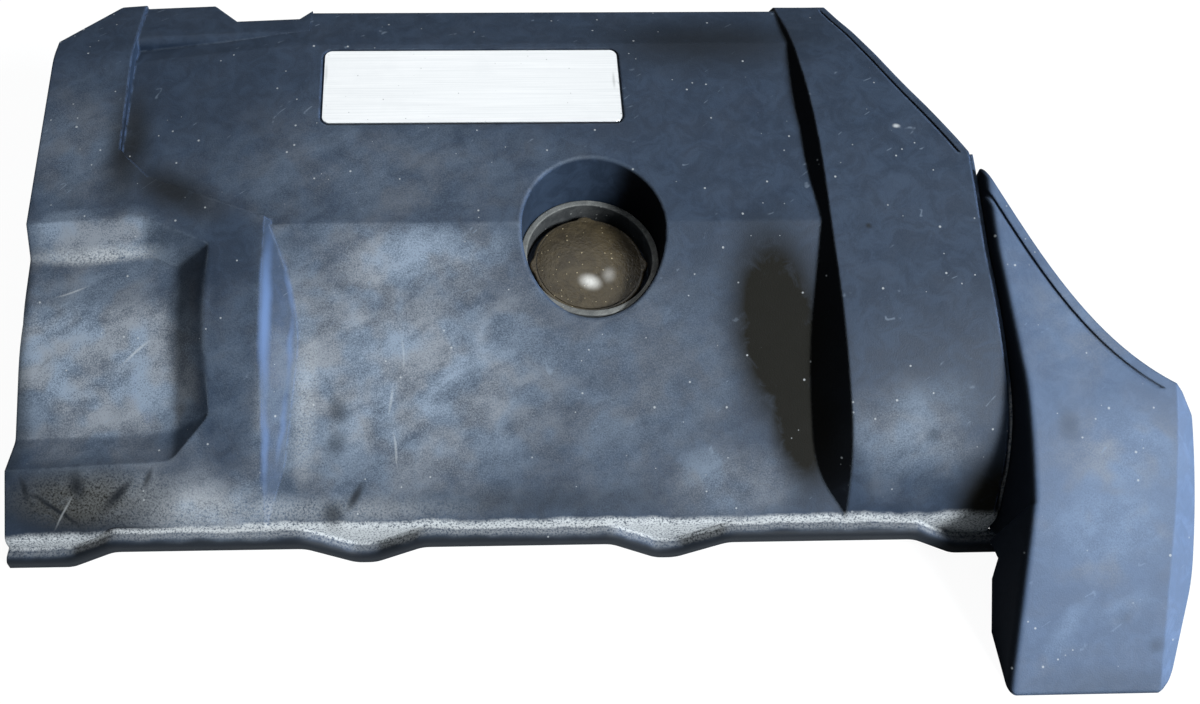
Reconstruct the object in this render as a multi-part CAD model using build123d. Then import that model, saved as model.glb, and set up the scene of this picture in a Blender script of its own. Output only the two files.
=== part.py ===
from build123d import *
import math
import os

# Moulded walls and fits
WALL = 2.5
FIT_GAP = 0.3
BELOW = 60.0
ABOVE = 260.0
SPARE = 20.0
HALVINGS = 40

# Middle profile, front to back: the run along Y and the slope of each facet
FACE_Y = 12.0
FACE_Z = 30.0
FRONT_RUN = 146.0
FRONT_SLOPE = 36.0
UPPER_RUN = 61.0
UPPER_SLOPE = 17.5
BADGE_RUN = 66.0
BADGE_SLOPE = 12.0
REAR_RUN = 42.0
REAR_SLOPE = -6.0
FRONT_ROUND = 10.0
CREST_ROUND = 6.0
FACET_ROUND = 20.0
REAR_ROUND = 5.0

# Plan outline
LEFT_X = -270.0
LEFT_SPLAY = 11.0
LEFT_TURN_Y = 115.0
RIGHT_X = 314.0
CORNER_CUT = 44.0
REAR_SPARE = 5.0
FRONT_SPARE = 30.0
NOTCH_X = -133.0
NOTCH_WIDTH = 42.0
NOTCH_FLARE = 10.0
NOTCH_DEPTH = 10.0
SHOULDER_CORNER_X = 240.0
KNEE_X = RIGHT_X - 7.3
KNEE_Y = 193.5
KNEE_BENDS = [(-57.5, 112.5), (-48.7, 86.5), (-31.0, 47.5)]
SIDE_BEND = (1.4, -58.0)
SIDE_FRONT_Y = 60.0
SIDE_TOE_IN = 1.5
SIDE_ROUNDS = [120.0, 120.0, 150.0, 3.0, 200.0, 200.0]
LEAST_ROUND = 0.5

# Left shoulder: strip and steep apron, each a share of the front facet and a rise over it
STRIP_X = -124.0
LEFT_FALL = 0.08
LEFT_LEAN = 1.0
BANK_RUN = 40.0
APRON_SHARE = 0.235
APRON_RISE = 8.8
APRON_ROUND = 40.0
STRIP_SHARE = 0.78
STRIP_RISE = 17.5
STRIP_ROUND = 130.0
LEFT_BROW_RISE = 2.5
LEFT_BROW_ROUND = 40.0
LEFT_REACH = 14.0
LEFT_REAR_RISE = 4.0

# Sunk bay behind the strip, and the level strip behind the bay
BAY_X = -218.0
BAY_START_X = -104.0
BAY_BEND = 20.0
BAY_EASY = 0.08
BAY_STEEP = 0.13
BAY_CORNER = 20.0
BAY_FRONT_STEP = 32.0
BAY_CREST_STEP = 4.0
BAY_REAR_Y = 298.0
BAY_REAR_FALL = 0.045
BAY_REAR_LIFT = 0.1

# Pocket in the left shoulder
POCKET_DEPTH = 14.0
POCKET_EDGE_X = -161.0
POCKET_REAR_Y = 172.0
POCKET_REAR_RISE = 8.0
POCKET_TOE_Y = 61.0
POCKET_TOE_RISE = 0.8
POCKET_BEND_Y = 110.0
POCKET_BEND_DROP = 14.0
POCKET_ROUNDS = [8.0, 110.0, 6.0]
POCKET_BANK = 18.0
POCKET_FOOT_ROUND = 14.0
POCKET_CORNER = 40.0
POCKET_CORNER_FACE = (-1.0, -2.2, 1.6)

# Right shoulder: shares of the front facet and rises over it, then shifts of the middle's creases
RIDGE_X = 217.0
RIDGE_TURN = 2.5
RIGHT_LEAN = 0.7
RIDGE_TOE_SHARE = 0.25
RIDGE_TOE_RISE = 21.0
RIDGE_MID_SHARE = 0.64
RIDGE_MID_RISE = 19.3
RIDGE_CREST_SHIFT = (37.0, 22.7)
RIDGE_FOLD_SHIFT = (16.0, 14.2)
RIDGE_BROW_SHIFT = (0.0, 4.5)
RIDGE_REAR_SHIFT = (4.0, 0.0)
RIDGE_ROUNDS = [100.0, 300.0, 200.0, 180.0, 140.0]
FLANGE_REACH = 3.0
FLANGE_DROP = 8.0
FLANGE_RIM = 2.0
FLANGE_RIM_DROP = 2.0

# Rolled front lip, with one dip every two cylinders
LIP_REACH = 9.0
LIP_HEIGHT = 9.0
LIP_ROUND = 4.0
DIP_PITCH = 183.0
DIP_X = -66.0
DIP_DEPTH = 19.0
DIP_FLOOR = 12.0
DIP_RAMP = 29.0
DIP_ROUND = 14.0
LIP_ROOT = 3.0
LIP_OVERRUN = 7.5

# Skirt's lower edge along the sides
SKIRT_FRONT_Y = 45.0
SKIRT_FRONT_Z = 15.0
SKIRT_REAR_Y = 215.0
SKIRT_REAR_Z = 108.0

# Oil filler well, its seal ring and its cap
WELL_X = 74.0
WELL_Y = 156.0
WELL_R = 43.5
WELL_FLOOR_Z = 90.8
WELL_TILT = 7.0
RIM_ROUND = 2.0
SEAL_WIDTH = 4.2
SEAL_HEIGHT = 16.0
CAP_GAP = 1.8
CAP_LOBES = 4
CAP_LOBE_R = 7.0
CAP_LOBE_REACH = 2.2
CAP_R = WELL_R - FIT_GAP - SEAL_WIDTH - CAP_GAP - CAP_LOBE_REACH
CAP_SEAT = 5.0
THROAT_R = CAP_R - CAP_SEAT
CAP_HEIGHT = 9.0
CAP_DOME = 4.0
CAP_HUB_GAP = 2.0
CAP_HUB_R = THROAT_R - CAP_HUB_GAP
CAP_HUB_DROP = 9.0
CAP_ROUND = 1.2

# Badge plate and its tape
BADGE_X = 2.0
BADGE_WIDTH = 189.0
BADGE_HEIGHT = 57.0
BADGE_CORNER = 5.0
BADGE_THICK = 1.5
TAPE_THICK = 0.8
TAPE_MARGIN = 4.0
BADGE_SINK = 2.0
BADGE_GAP = 1.2

# Side wing, a second moulding screwed to the right wall: profile, plan and lower edge
WING_LINE = [(-88.0, 2.4), (22.0, 87.0), (190.0, 162.0)]
WING_LINE_ROUND = 380.0
WING_GAP = 0.8
WING_TIP_Y = KNEE_Y - 6.5
WING_FRONT_Y = -88.0
WING_INNER_X = RIGHT_X - 19.0
WING_BACK = [(KNEE_X + 1.3, WING_TIP_Y), (340.0, 127.5), (379.0, 77.0), (412.0, 55.0)]
WING_SIDE = [(420.0, 46.0), (417.0, -30.0), (395.0, WING_FRONT_Y)]
WING_SIDE_ROUNDS = [4.0, 60.0, 26.0]
WING_SKIRT = [
    (WING_FRONT_Y - SPARE, 0.0),
    (-48.0, 0.0),
    (-21.0, 14.0),
    (-13.0, 25.0),
    (0.0, 22.0),
    (14.0, 12.0),
    (60.0, 32.0),
    (WING_TIP_Y, 115.0),
]
WING_SHELF_X = 400.0
WING_TURN = -7.0
WING_BEVEL = 0.8
WING_FOOT_X = 306.2
WING_LEAN = 0.152
WING_TOE_IN = 0.05
WING_EDGE_ROUND = 5.0
WING_BOSS_R = 5.5
WING_BOSS_LENGTH = 24.0
WING_SCREW_SPOTS = [(40.0, 46.0), (95.0, 78.0), (150.0, 101.0)]
SCREW_R = 2.0
SCREW_GAP = 0.1
SCREW_HEAD_R = 4.5
SCREW_HEAD = 3.0
SCREW_SHORT = 4.0

# Stand-off posts and the rubber grommets in their feet
POST_LEFT_X = -205.0
POST_RIGHT_X = 225.0
POST_FRONT_Y = 66.0
POST_REAR_Y = 288.0
POST_R = 11.0
STUD_R = 5.0
STUD_DEPTH = 9.0
GROMMET_FLANGE = STUD_DEPTH + 1.0
GROMMET_R = 8.5
GROMMET_NECK = 10.0
GROMMET_LENGTH = GROMMET_FLANGE + GROMMET_NECK
GROMMET_BEVEL = 0.5
POST_SPOTS = {
    "front_left": (POST_LEFT_X, POST_FRONT_Y),
    "front_right": (POST_RIGHT_X, POST_FRONT_Y),
    "rear_left": (POST_LEFT_X, POST_REAR_Y),
    "rear_right": (POST_RIGHT_X, POST_REAR_Y),
}

# Stiffening ribs and foam pads under the roof
RIB_THICK = 2.0
RIB_DEPTH = 14.0
RIB_ROW_Y = 207.0
RIB_FRONT_Y = 34.0
RIB_ROW_END_X = 205.0
RIB_XS = [-104.0, 24.0, 124.0]
GUSSET_REACH = 26.0
GUSSET_DEPTH = 34.0
FOAM_THICK = 10.0
FOAM_MARGIN = 4.0

# Fine score line along the right edges
SCORE_INSET = 4.5
WING_SCORE_INSET = 4.0
SCORE_WIDTH = 1.4
SCORE_DEPTH = 1.4


def slope_step(point, run, slope):
    """The point a run further back, up a slope given in degrees."""
    return (point[0] + run, point[1] + run * math.tan(math.radians(slope)))


FRONT = (FACE_Y, FACE_Z)
CREST = slope_step(FRONT, FRONT_RUN, FRONT_SLOPE)
FOLD = slope_step(CREST, UPPER_RUN, UPPER_SLOPE)
BROW = slope_step(FOLD, BADGE_RUN, BADGE_SLOPE)
REAR = slope_step(BROW, REAR_RUN, REAR_SLOPE)


def bulge(along, rise):
    """A point at a share of the front facet's length, raised square to the facet."""
    dy = CREST[0] - FRONT[0]
    dz = CREST[1] - FRONT[1]
    length = math.hypot(dy, dz)
    return (FRONT[0] + along * dy - rise * dz / length, FRONT[1] + along * dz + rise * dy / length)


def shifted(point, dy, dz):
    """A profile point moved by dy and dz."""
    return (point[0] + dy, point[1] + dz)


LEFT_LINE = [
    FRONT,
    bulge(APRON_SHARE, APRON_RISE),
    bulge(STRIP_SHARE, STRIP_RISE),
    shifted(BROW, 0.0, LEFT_BROW_RISE),
    shifted(REAR, LEFT_REACH, LEFT_REAR_RISE),
]
LEFT_ROUNDS = [FRONT_ROUND, APRON_ROUND, STRIP_ROUND, LEFT_BROW_ROUND, REAR_ROUND]
RIGHT_LINE = [
    FRONT,
    bulge(RIDGE_TOE_SHARE, RIDGE_TOE_RISE),
    bulge(RIDGE_MID_SHARE, RIDGE_MID_RISE),
    shifted(CREST, *RIDGE_CREST_SHIFT),
    shifted(FOLD, *RIDGE_FOLD_SHIFT),
    shifted(BROW, *RIDGE_BROW_SHIFT),
    shifted(REAR, *RIDGE_REAR_SHIFT),
]
RIGHT_ROUNDS = [FRONT_ROUND] + RIDGE_ROUNDS + [REAR_ROUND]
MIDDLE_LINE = [FRONT, CREST, FOLD, BROW, REAR]
MIDDLE_ROUNDS = [FRONT_ROUND, CREST_ROUND, FACET_ROUND, REAR_ROUND, REAR_ROUND]


def profile_face(points, rounds, inset, x):
    """The face under a rounded line of the YZ plane, with upright ends, drawn in by the inset."""
    start_y = points[0][0]
    end_y = points[-1][0]
    line = FilletPolyline((start_y, -BELOW), *points, (end_y, -BELOW), radius=rounds)
    face = make_face(line.edges() + Line(line @ 1, line @ 0).edges())
    if inset:
        face = offset(face, amount=-inset, kind=Kind.INTERSECTION)
    return (Plane.YZ.offset(x) * face).face()


def drawn_in(points, rounds, inset):
    """A rounded plan line moved by the inset to its right-hand side, its arcs kept parallel."""
    runs = []
    for (x0, y0), (x1, y1) in zip(points, points[1:]):
        length = math.hypot(x1 - x0, y1 - y0)
        dx = (x1 - x0) / length
        dy = (y1 - y0) / length
        runs.append((x0 + inset * dy, y0 - inset * dx, dx, dy, length))
    x, y, dx, dy, length = runs[-1]
    corners = [runs[0][:2]]
    arcs = []
    for (x0, y0, dx0, dy0, _), (x1, y1, dx1, dy1, _), arc in zip(runs, runs[1:], rounds):
        turn = dx0 * dy1 - dy0 * dx1
        share = ((x1 - x0) * dy1 - (y1 - y0) * dx1) / turn
        corners.append((x0 + share * dx0, y0 + share * dy0))
        arcs.append(max(arc + math.copysign(inset, turn), LEAST_ROUND))
    corners.append((x + length * dx, y + length * dy))
    return FilletPolyline(*corners, radius=arcs)


def swept(face, dx, dz):
    """A face carried sideways by dx while it sinks by dz."""
    return Solid.extrude(face, Vector(dx, 0, -dz))


def prism(lines, low=-2 * BELOW, high=ABOVE):
    """An upright prism over a closed plan outline."""
    face = make_face(lines)
    return Solid.extrude((Plane.XY.offset(low) * face).face(), Vector(0, 0, high - low))


def half_space(y, ahead):
    """A large box on one side of an upright plane at a given Y: in front of it or behind it."""
    size = 4 * ABOVE
    align = Align.MAX if ahead else Align.MIN
    return Location((0, y, 0)) * Box(2 * size, size, size, align=(Align.CENTER, align, Align.CENTER))


def middle(inset):
    """The middle body, which sinks to the left into the bay behind the strip."""
    face = profile_face(MIDDLE_LINE, MIDDLE_ROUNDS, inset, BAY_START_X)
    bend = face.moved(Location((-BAY_BEND, 0, -BAY_EASY * BAY_BEND)))
    rest = BAY_START_X - BAY_BEND - LEFT_X + 2 * SPARE
    body = swept(face, RIGHT_X + SPARE - BAY_START_X, 0)
    body += swept(face, STRIP_X - BAY_START_X - WALL, 0) & half_space(CREST[0], True)
    body += swept(face, -BAY_BEND, BAY_EASY * BAY_BEND)
    body += swept(bend, -rest, BAY_STEEP * rest)
    return body


def foot_edges(space, x, low, high):
    """The edges of a dish that run along an upright plane at a given X, between two levels."""
    found = []
    for edge in space.edges():
        spots = [edge @ share for share in (0, 0.5, 1)]
        if all(abs(spot.X - x) < FIT_GAP and low < spot.Z < high for spot in spots):
            found.append(edge)
    return found


def pocket(inset):
    """The dish taken out of the left shoulder: a sloping floor with a front, a rear and a right bank."""
    floor_x = POCKET_EDGE_X - POCKET_BANK
    fall = LEFT_FALL * (STRIP_X - floor_x)
    lower = fall + inset * (1 + LEFT_FALL + POCKET_BANK / ABOVE)
    foot_y = POCKET_REAR_Y - POCKET_BANK
    crease = shifted(LEFT_LINE[1], 0, -lower)
    toe = (POCKET_TOE_Y, crease[1] + POCKET_TOE_RISE)
    share = (POCKET_BEND_Y - LEFT_LINE[1][0]) / (LEFT_LINE[2][0] - LEFT_LINE[1][0])
    bend_z = LEFT_LINE[1][1] + share * (LEFT_LINE[2][1] - LEFT_LINE[1][1])
    bend = (POCKET_BEND_Y, bend_z - POCKET_BEND_DROP - lower)
    foot = (foot_y + inset, CREST[1] - POCKET_DEPTH - lower)
    rear = (POCKET_REAR_Y + inset, CREST[1] + POCKET_REAR_RISE)
    floor = FilletPolyline(crease, toe, bend, foot, rear, radius=POCKET_ROUNDS)
    above = Polyline(rear, (rear[0] + ABOVE / 4, ABOVE), (crease[0], ABOVE), crease)
    face = (Plane.YZ.offset(floor_x + inset) * make_face(floor.edges() + above.edges())).face()
    reach = floor_x - LEFT_X + 2 * SPARE
    space = swept(face, -reach, LEFT_FALL * reach)
    space += swept(face, POCKET_BANK * 2, -POCKET_DEPTH * 2)
    space = fillet(foot_edges(space, floor_x + inset, crease[1] - 1, rear[1]), POCKET_FOOT_ROUND)
    corner = Plane(
        origin=(POCKET_EDGE_X - POCKET_CORNER + inset, foot_y + inset, foot[1] - WALL),
        x_dir=(POCKET_CORNER, -POCKET_BANK, -POCKET_BANK / 2),
        z_dir=POCKET_CORNER_FACE,
    )
    keep = corner * Box(2 * ABOVE, 2 * ABOVE, 2 * ABOVE, align=(Align.CENTER, Align.CENTER, Align.MIN))
    return space & keep


def rear_strip(inset):
    """The level strip behind the bay, which joins the left shoulder to the middle."""
    slope = math.tan(math.radians(REAR_SLOPE))
    level = BROW[1] + BAY_REAR_LIFT
    rear_y = REAR[0] + LEFT_REACH
    line = [(y, level + slope * (y - BROW[0])) for y in (BAY_REAR_Y, rear_y)]
    face = profile_face(line, [REAR_ROUND, REAR_ROUND], inset, BAY_START_X - inset)
    reach = BAY_START_X - BAY_X + REAR_SPARE
    return swept(face, -reach, BAY_REAR_FALL * reach)


def left_shoulder(inset):
    """The left shoulder: a high profile that falls to the left and leans down to the middle on its right."""
    face = profile_face(LEFT_LINE, LEFT_ROUNDS, inset, STRIP_X - inset)
    reach = STRIP_X - LEFT_X + 2 * SPARE
    body = swept(face, -reach, LEFT_FALL * reach)
    body += swept(face, BANK_RUN, BANK_RUN / LEFT_LEAN)
    bay_x = BAY_X - inset
    crest_y = CREST[0] + BAY_CREST_STEP - inset
    plan = Polyline(
        (LEFT_X - 2 * SPARE, FACE_Y - 1),
        (STRIP_X + BANK_RUN, FACE_Y - 1),
        (STRIP_X + BANK_RUN, crest_y),
        (STRIP_X, crest_y),
        (bay_x + BAY_CORNER, crest_y + BAY_FRONT_STEP),
        (bay_x, crest_y + BAY_FRONT_STEP + BAY_CORNER),
        (bay_x, REAR[0] + ABOVE / 4),
        (LEFT_X - 2 * SPARE, REAR[0] + ABOVE / 4),
        close=True,
    )
    return (body & prism(plan.edges())) + rear_strip(inset)


def right_shoulder(inset):
    """The right shoulder: a high profile turned a little in plan, leaning down to the middle on its left."""
    turn = Location((RIDGE_X + inset, CREST[0], 0)) * Rotation(0, 0, RIDGE_TURN) * Location((0, -CREST[0], 0))
    face = profile_face(RIGHT_LINE, RIGHT_ROUNDS, inset, 0).moved(turn)
    body = swept(face, RIGHT_X - RIDGE_X + 2 * SPARE, 0)
    body += swept(face, -BANK_RUN, BANK_RUN / RIGHT_LEAN)
    return body


def right_edge(inset):
    """The plan line down the right side, from the rear corner to the front, drawn in by the inset."""
    rear = (SHOULDER_CORNER_X, REAR[0] + LEFT_REACH + REAR_SPARE)
    bends = [(KNEE_X + dx, KNEE_Y + dy) for dx, dy in KNEE_BENDS]
    knee = (KNEE_X, KNEE_Y)
    side = (KNEE_X + SIDE_BEND[0], KNEE_Y + SIDE_BEND[1])
    front = [(RIGHT_X, SIDE_FRONT_Y), (RIGHT_X - SIDE_TOE_IN, FACE_Y - FRONT_SPARE)]
    return drawn_in([rear] + bends + [knee, side] + front, SIDE_ROUNDS, inset)


def outline(inset):
    """The upright prism inside the whole plan outline, drawn in by the inset."""
    edge = right_edge(inset)
    rear_y = REAR[0] + LEFT_REACH + REAR_SPARE - inset
    left_x = LEFT_X + inset
    cut = CORNER_CUT - inset * (2 - math.sqrt(2))
    front_y = (edge @ 1).Y
    splay = LEFT_SPLAY * (LEFT_TURN_Y - front_y) / (LEFT_TURN_Y - FACE_Y)
    rest = Polyline(
        edge @ 1,
        (left_x - splay, front_y),
        (left_x, LEFT_TURN_Y),
        (left_x, rear_y - cut),
        (left_x + cut, rear_y),
        ((edge @ 0).X - SPARE, rear_y),
        edge @ 0,
    )
    return prism(edge.edges() + rest.edges())


def form(inset):
    """The cover's whole outer form, drawn in by the inset."""
    body = middle(inset) + left_shoulder(inset) + right_shoulder(inset)
    return (body - pocket(inset)) & outline(inset)


LIP_LEFT_X = LEFT_X - LEFT_SPLAY
LIP_RIGHT_X = RIGHT_X - SIDE_TOE_IN + FLANGE_REACH + LIP_OVERRUN


def lip_points(raised):
    """The lip's lower line seen from the front, raised by a height: flats between dips."""
    half = DIP_FLOOR / 2
    top = half + DIP_RAMP
    points = [(LIP_LEFT_X, raised)]
    for step in range(-1, 3):
        x = DIP_X + step * DIP_PITCH
        dip = [(x - top, DIP_DEPTH), (x - half, 0), (x + half, 0), (x + top, DIP_DEPTH)]
        points += [(px, pz + raised) for px, pz in dip if LEFT_X + half < px < RIGHT_X - half]
    points.append((LIP_RIGHT_X, raised))
    inner = [b for a, b, c in zip(points, points[1:], points[2:]) if not a[1] == b[1] == c[1]]
    return [points[0]] + inner + [points[-1]]


def lip_level(x):
    """The height of the lip's lower line at a given X."""
    points = lip_points(0)
    for (x0, z0), (x1, z1) in zip(points, points[1:]):
        if x0 <= x <= x1:
            return z0 + (z1 - z0) * (x - x0) / (x1 - x0)
    return 0.0


def lip_band(bottom, raised, y0, y1, inset=0.0):
    """A band along the front between a level or the lip's lower line and a raised copy of that line."""
    upper = FilletPolyline(*lip_points(raised), radius=DIP_ROUND)
    if bottom is None:
        lower = FilletPolyline(*lip_points(0), radius=DIP_ROUND)
    else:
        lower = Line((LIP_LEFT_X, bottom), (LIP_RIGHT_X, bottom))
    sides = [Line(lower @ 0, upper @ 0), Line(lower @ 1, upper @ 1)]
    edges = upper.edges() + lower.edges() + [side.edge() for side in sides]
    face = (Plane.XZ.offset(-y0) * make_face(edges)).face()
    band = Solid.extrude(face, Vector(0, y1 - y0, 0))
    if inset:
        ends = LIP_RIGHT_X - LIP_LEFT_X - 2 * inset
        band &= Location(((LIP_LEFT_X + LIP_RIGHT_X) / 2, 0, 0)) * Box(ends, 2 * ABOVE, 4 * ABOVE)
    return band


def front_lip():
    """The rolled lip: a solid band with its upper front edge rounded over."""
    band = lip_band(None, LIP_HEIGHT, FACE_Y - LIP_REACH, FACE_Y + WALL)
    nose = band.faces().sort_by(Axis.Y)[0].edges()
    brow = [e for e in nose if (e @ 0.5).Z > lip_level((e @ 0.5).X) + LIP_HEIGHT * 0.6]
    return fillet(brow, LIP_ROUND)


def skirt_cutter():
    """All that lies under the lip's lower line in front and under the sloping skirt edge behind it."""
    split_y = FACE_Y + WALL + 2 * LIP_ROOT
    front = lip_band(-3 * BELOW, 0, FACE_Y - LIP_REACH - SPARE, split_y)
    line = Polyline(
        (split_y, -3 * BELOW),
        (split_y, 0),
        (SKIRT_FRONT_Y, SKIRT_FRONT_Z),
        (SKIRT_REAR_Y, SKIRT_REAR_Z),
        (REAR[0] + LEFT_REACH + SPARE, SKIRT_REAR_Z),
        (REAR[0] + LEFT_REACH + SPARE, -3 * BELOW),
        close=True,
    )
    face = (Plane.YZ.offset(LEFT_X - SPARE) * make_face(line.edges())).face()
    return front + Solid.extrude(face, Vector(RIGHT_X - LEFT_X + 3 * SPARE, 0, 0))


def upright(x, y, radius, low, high):
    """An upright cylinder between two levels."""
    return Location((x, y, low)) * Cylinder(radius, high - low, align=(Align.CENTER, Align.CENTER, Align.MIN))


WELL_PLANE = Plane(
    origin=(WELL_X, WELL_Y, WELL_FLOOR_Z),
    x_dir=(1, 0, 0),
    z_dir=(0, -math.sin(math.radians(WELL_TILT)), math.cos(math.radians(WELL_TILT))),
)


def over_foot(height):
    """All that lies above the well's tilted foot, raised by a height."""
    size = 2 * ABOVE
    return WELL_PLANE.offset(height) * Box(size, size, size, align=(Align.CENTER, Align.CENTER, Align.MIN))


BADGE_PLANE = Plane(
    origin=(BADGE_X, (FOLD[0] + BROW[0]) / 2, (FOLD[1] + BROW[1]) / 2),
    x_dir=(1, 0, 0),
    z_dir=(0, -math.sin(math.radians(BADGE_SLOPE)), math.cos(math.radians(BADGE_SLOPE))),
)


def badge_slab(margin, low, high):
    """A rounded slab on the badge facet, between two depths measured from the facet."""
    corner = max(BADGE_CORNER + margin, BADGE_THICK)
    slab = RectangleRounded(BADGE_WIDTH + 2 * margin, BADGE_HEIGHT + 2 * margin, corner)
    face = (BADGE_PLANE.offset(low) * slab).face()
    return Solid.extrude(face, BADGE_PLANE.z_dir * (high - low))


def notch(inset):
    """The plan edges of the notch in the rear edge, wider at its mouth and grown by the inset."""
    half = NOTCH_WIDTH / 2
    mouth = half + 2 * NOTCH_FLARE
    floor_y = REAR[0] - NOTCH_DEPTH
    mouth_y = floor_y + 2 * (NOTCH_DEPTH + 2)
    plan = Polyline(
        (NOTCH_X - half, floor_y),
        (NOTCH_X + half, floor_y),
        (NOTCH_X + mouth, mouth_y),
        (NOTCH_X - mouth, mouth_y),
        close=True,
    )
    if inset:
        return offset(make_face(plan.edges()), amount=inset, kind=Kind.INTERSECTION).edges()
    return plan.edges()


def side_flange():
    """The channel down the right side: a sunk flange, a thin rim along its edge and a stop at its front end."""
    face = profile_face(RIGHT_LINE, RIGHT_ROUNDS, 0, RIDGE_X)
    solid = swept(face, RIGHT_X - RIDGE_X + FLANGE_REACH + SPARE, 0)
    floor = solid.moved(Location((0, 0, -FLANGE_DROP))) - solid.moved(Location((0, 0, -FLANGE_DROP - WALL)))
    rim = solid.moved(Location((0, 0, -FLANGE_RIM_DROP))) - solid.moved(Location((0, 0, -FLANGE_DROP - WALL)))
    edge = outline(-FLANGE_REACH)
    floor = (floor & edge) - outline(WALL / 2)
    rim = (rim & edge) - outline(-FLANGE_REACH + FLANGE_RIM)
    stop = Box(2 * FLANGE_REACH, WALL, 2 * ABOVE, align=(Align.CENTER, Align.MIN, Align.CENTER))
    stop = Location((RIGHT_X - SIDE_TOE_IN, FACE_Y, 0)) * stop
    stop &= solid.moved(Location((0, 0, -FLANGE_RIM_DROP))) & edge
    run = (floor + rim) & half_space(KNEE_Y, True) & half_space(FACE_Y + WALL, False)
    return run + stop


def score_ring(shape, ring):
    """The groove that a ring-shaped prism leaves in the top of a shape."""
    return ring - shape.moved(Location((0, 0, -SCORE_DEPTH)))


def layer_plates(roof, plates, depth):
    """Upright plates that hang from the roof, down to a depth below it."""
    hung = plates & roof.moved(Location((0, 0, -WALL / 2)))
    return hung - roof.moved(Location((0, 0, -depth)))


def rib_plates():
    """The stiffening ribs seen in plan: one row across and three that run to the front."""
    tall = 2 * ABOVE
    left_x = RIB_XS[0]
    centre_x = (left_x + RIB_ROW_END_X) / 2
    row = Location((centre_x, RIB_ROW_Y, 0)) * Box(RIB_ROW_END_X - left_x, RIB_THICK, tall)
    mid_y = (RIB_FRONT_Y + RIB_ROW_Y) / 2
    for x in RIB_XS:
        row += Location((x, mid_y, 0)) * Box(RIB_THICK, RIB_ROW_Y - RIB_FRONT_Y, tall)
    return row


def gusset_plates():
    """A cross of gussets about every stand-off post, seen in plan."""
    tall = 2 * ABOVE
    crosses = []
    for x, y in POST_SPOTS.values():
        crosses.append(Location((x, y, 0)) * Box(2 * GUSSET_REACH, RIB_THICK, tall))
        crosses.append(Location((x, y, 0)) * Box(RIB_THICK, 2 * GUSSET_REACH, tall))
    return crosses[0] + crosses[1:]


def edge_x(y):
    """The X of the right wall's outer face at a given Y."""
    line = right_edge(0)
    low = 0.0
    high = 1.0
    for _ in range(HALVINGS):
        middle_share = (low + high) / 2
        if (line @ middle_share).Y > y:
            low = middle_share
        else:
            high = middle_share
    return (line @ low).X


def along_x(x, y, z, radius, length):
    """A cylinder that starts at a point and runs along X."""
    bar = Cylinder(radius, length, align=(Align.CENTER, Align.CENTER, Align.MIN))
    return Location((x, y, z)) * Rotation(0, 90, 0) * bar


def screw_holes(radius):
    """The three holes that the wing's screws pass through."""
    length = 3 * WALL + WING_BOSS_LENGTH
    bars = [along_x(edge_x(y) - 2 * WALL, y, z, radius, length) for y, z in WING_SCREW_SPOTS]
    return bars[0] + bars[1:]


def main_cover():
    """The main moulding: shell, lip, well, badge recess, side channel, ribs, posts."""
    outer = form(0) - prism(notch(0))
    roof = outer
    inner = form(WALL) - prism(notch(WALL))
    outer += front_lip()
    nose_y = FACE_Y - LIP_REACH + WALL
    lip_hollow = lip_band(-2 * BELOW, LIP_HEIGHT - WALL, nose_y, FACE_Y + WALL + LIP_ROOT, 2 * WALL)
    shell = outer - inner - lip_hollow
    shell += side_flange()
    shell -= skirt_cutter()
    shell += layer_plates(roof, rib_plates(), RIB_DEPTH)
    shell += layer_plates(roof, gusset_plates(), GUSSET_DEPTH)
    for x, y in POST_SPOTS.values():
        post = upright(x, y, POST_R, GROMMET_FLANGE, ABOVE) & roof.moved(Location((0, 0, -WALL / 2)))
        shell += post
        shell -= upright(x, y, GROMMET_R + FIT_GAP, 0, GROMMET_LENGTH)
    shell += upright(WELL_X, WELL_Y, WELL_R + WALL, 0, ABOVE) & over_foot(-WALL) & roof
    shell -= upright(WELL_X, WELL_Y, WELL_R, 0, ABOVE) & over_foot(0)
    shell -= WELL_PLANE * upright(0, 0, THROAT_R, -2 * WALL, SEAL_HEIGHT)
    shell += badge_slab(2 * WALL, -BADGE_SINK - WALL, -WALL / 2)
    shell -= badge_slab(BADGE_GAP, -BADGE_SINK, 4 * WALL)
    ring = outline(SCORE_INSET) - outline(SCORE_INSET + SCORE_WIDTH)
    ring &= half_space(KNEE_Y, False)
    corner = (Align.MIN, Align.CENTER, Align.CENTER)
    ring &= Location((SHOULDER_CORNER_X, 0, 0)) * Box(ABOVE, 4 * ABOVE, 4 * ABOVE, align=corner)
    shell -= score_ring(roof, ring)
    shell -= screw_holes(SCREW_R + SCREW_GAP)
    rim = shell.edges().filter_by(on_rim)
    return fillet(rim, RIM_ROUND)


def on_rim(edge):
    """Whether an edge runs around the well's upper rim."""
    spots = [edge @ share for share in (0, 0.5, 1)]
    radii = [math.hypot(spot.X - WELL_X, spot.Y - WELL_Y) for spot in spots]
    round_the_well = all(abs(radius - WELL_R) < SCREW_GAP for radius in radii)
    above_floor = spots[1].Z > WELL_FLOOR_Z + SEAL_HEIGHT / 2
    return round_the_well and above_floor and abs(spots[0].X - spots[2].X) > FIT_GAP


def wing_plan(inset):
    """The upright prism inside the wing's plan outline."""
    back = Spline(*[(x - inset, y - inset) for x, y in WING_BACK])
    side_points = [(x - inset, max(y, WING_FRONT_Y + inset)) for x, y in WING_SIDE]
    corner = (WING_INNER_X, WING_FRONT_Y + inset)
    side = FilletPolyline(back @ 1, *side_points, corner, radius=WING_SIDE_ROUNDS)
    rest = Polyline(corner, (WING_INNER_X, (back @ 0).Y), back @ 0)
    return prism(back.edges() + side.edges() + rest.edges())


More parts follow.
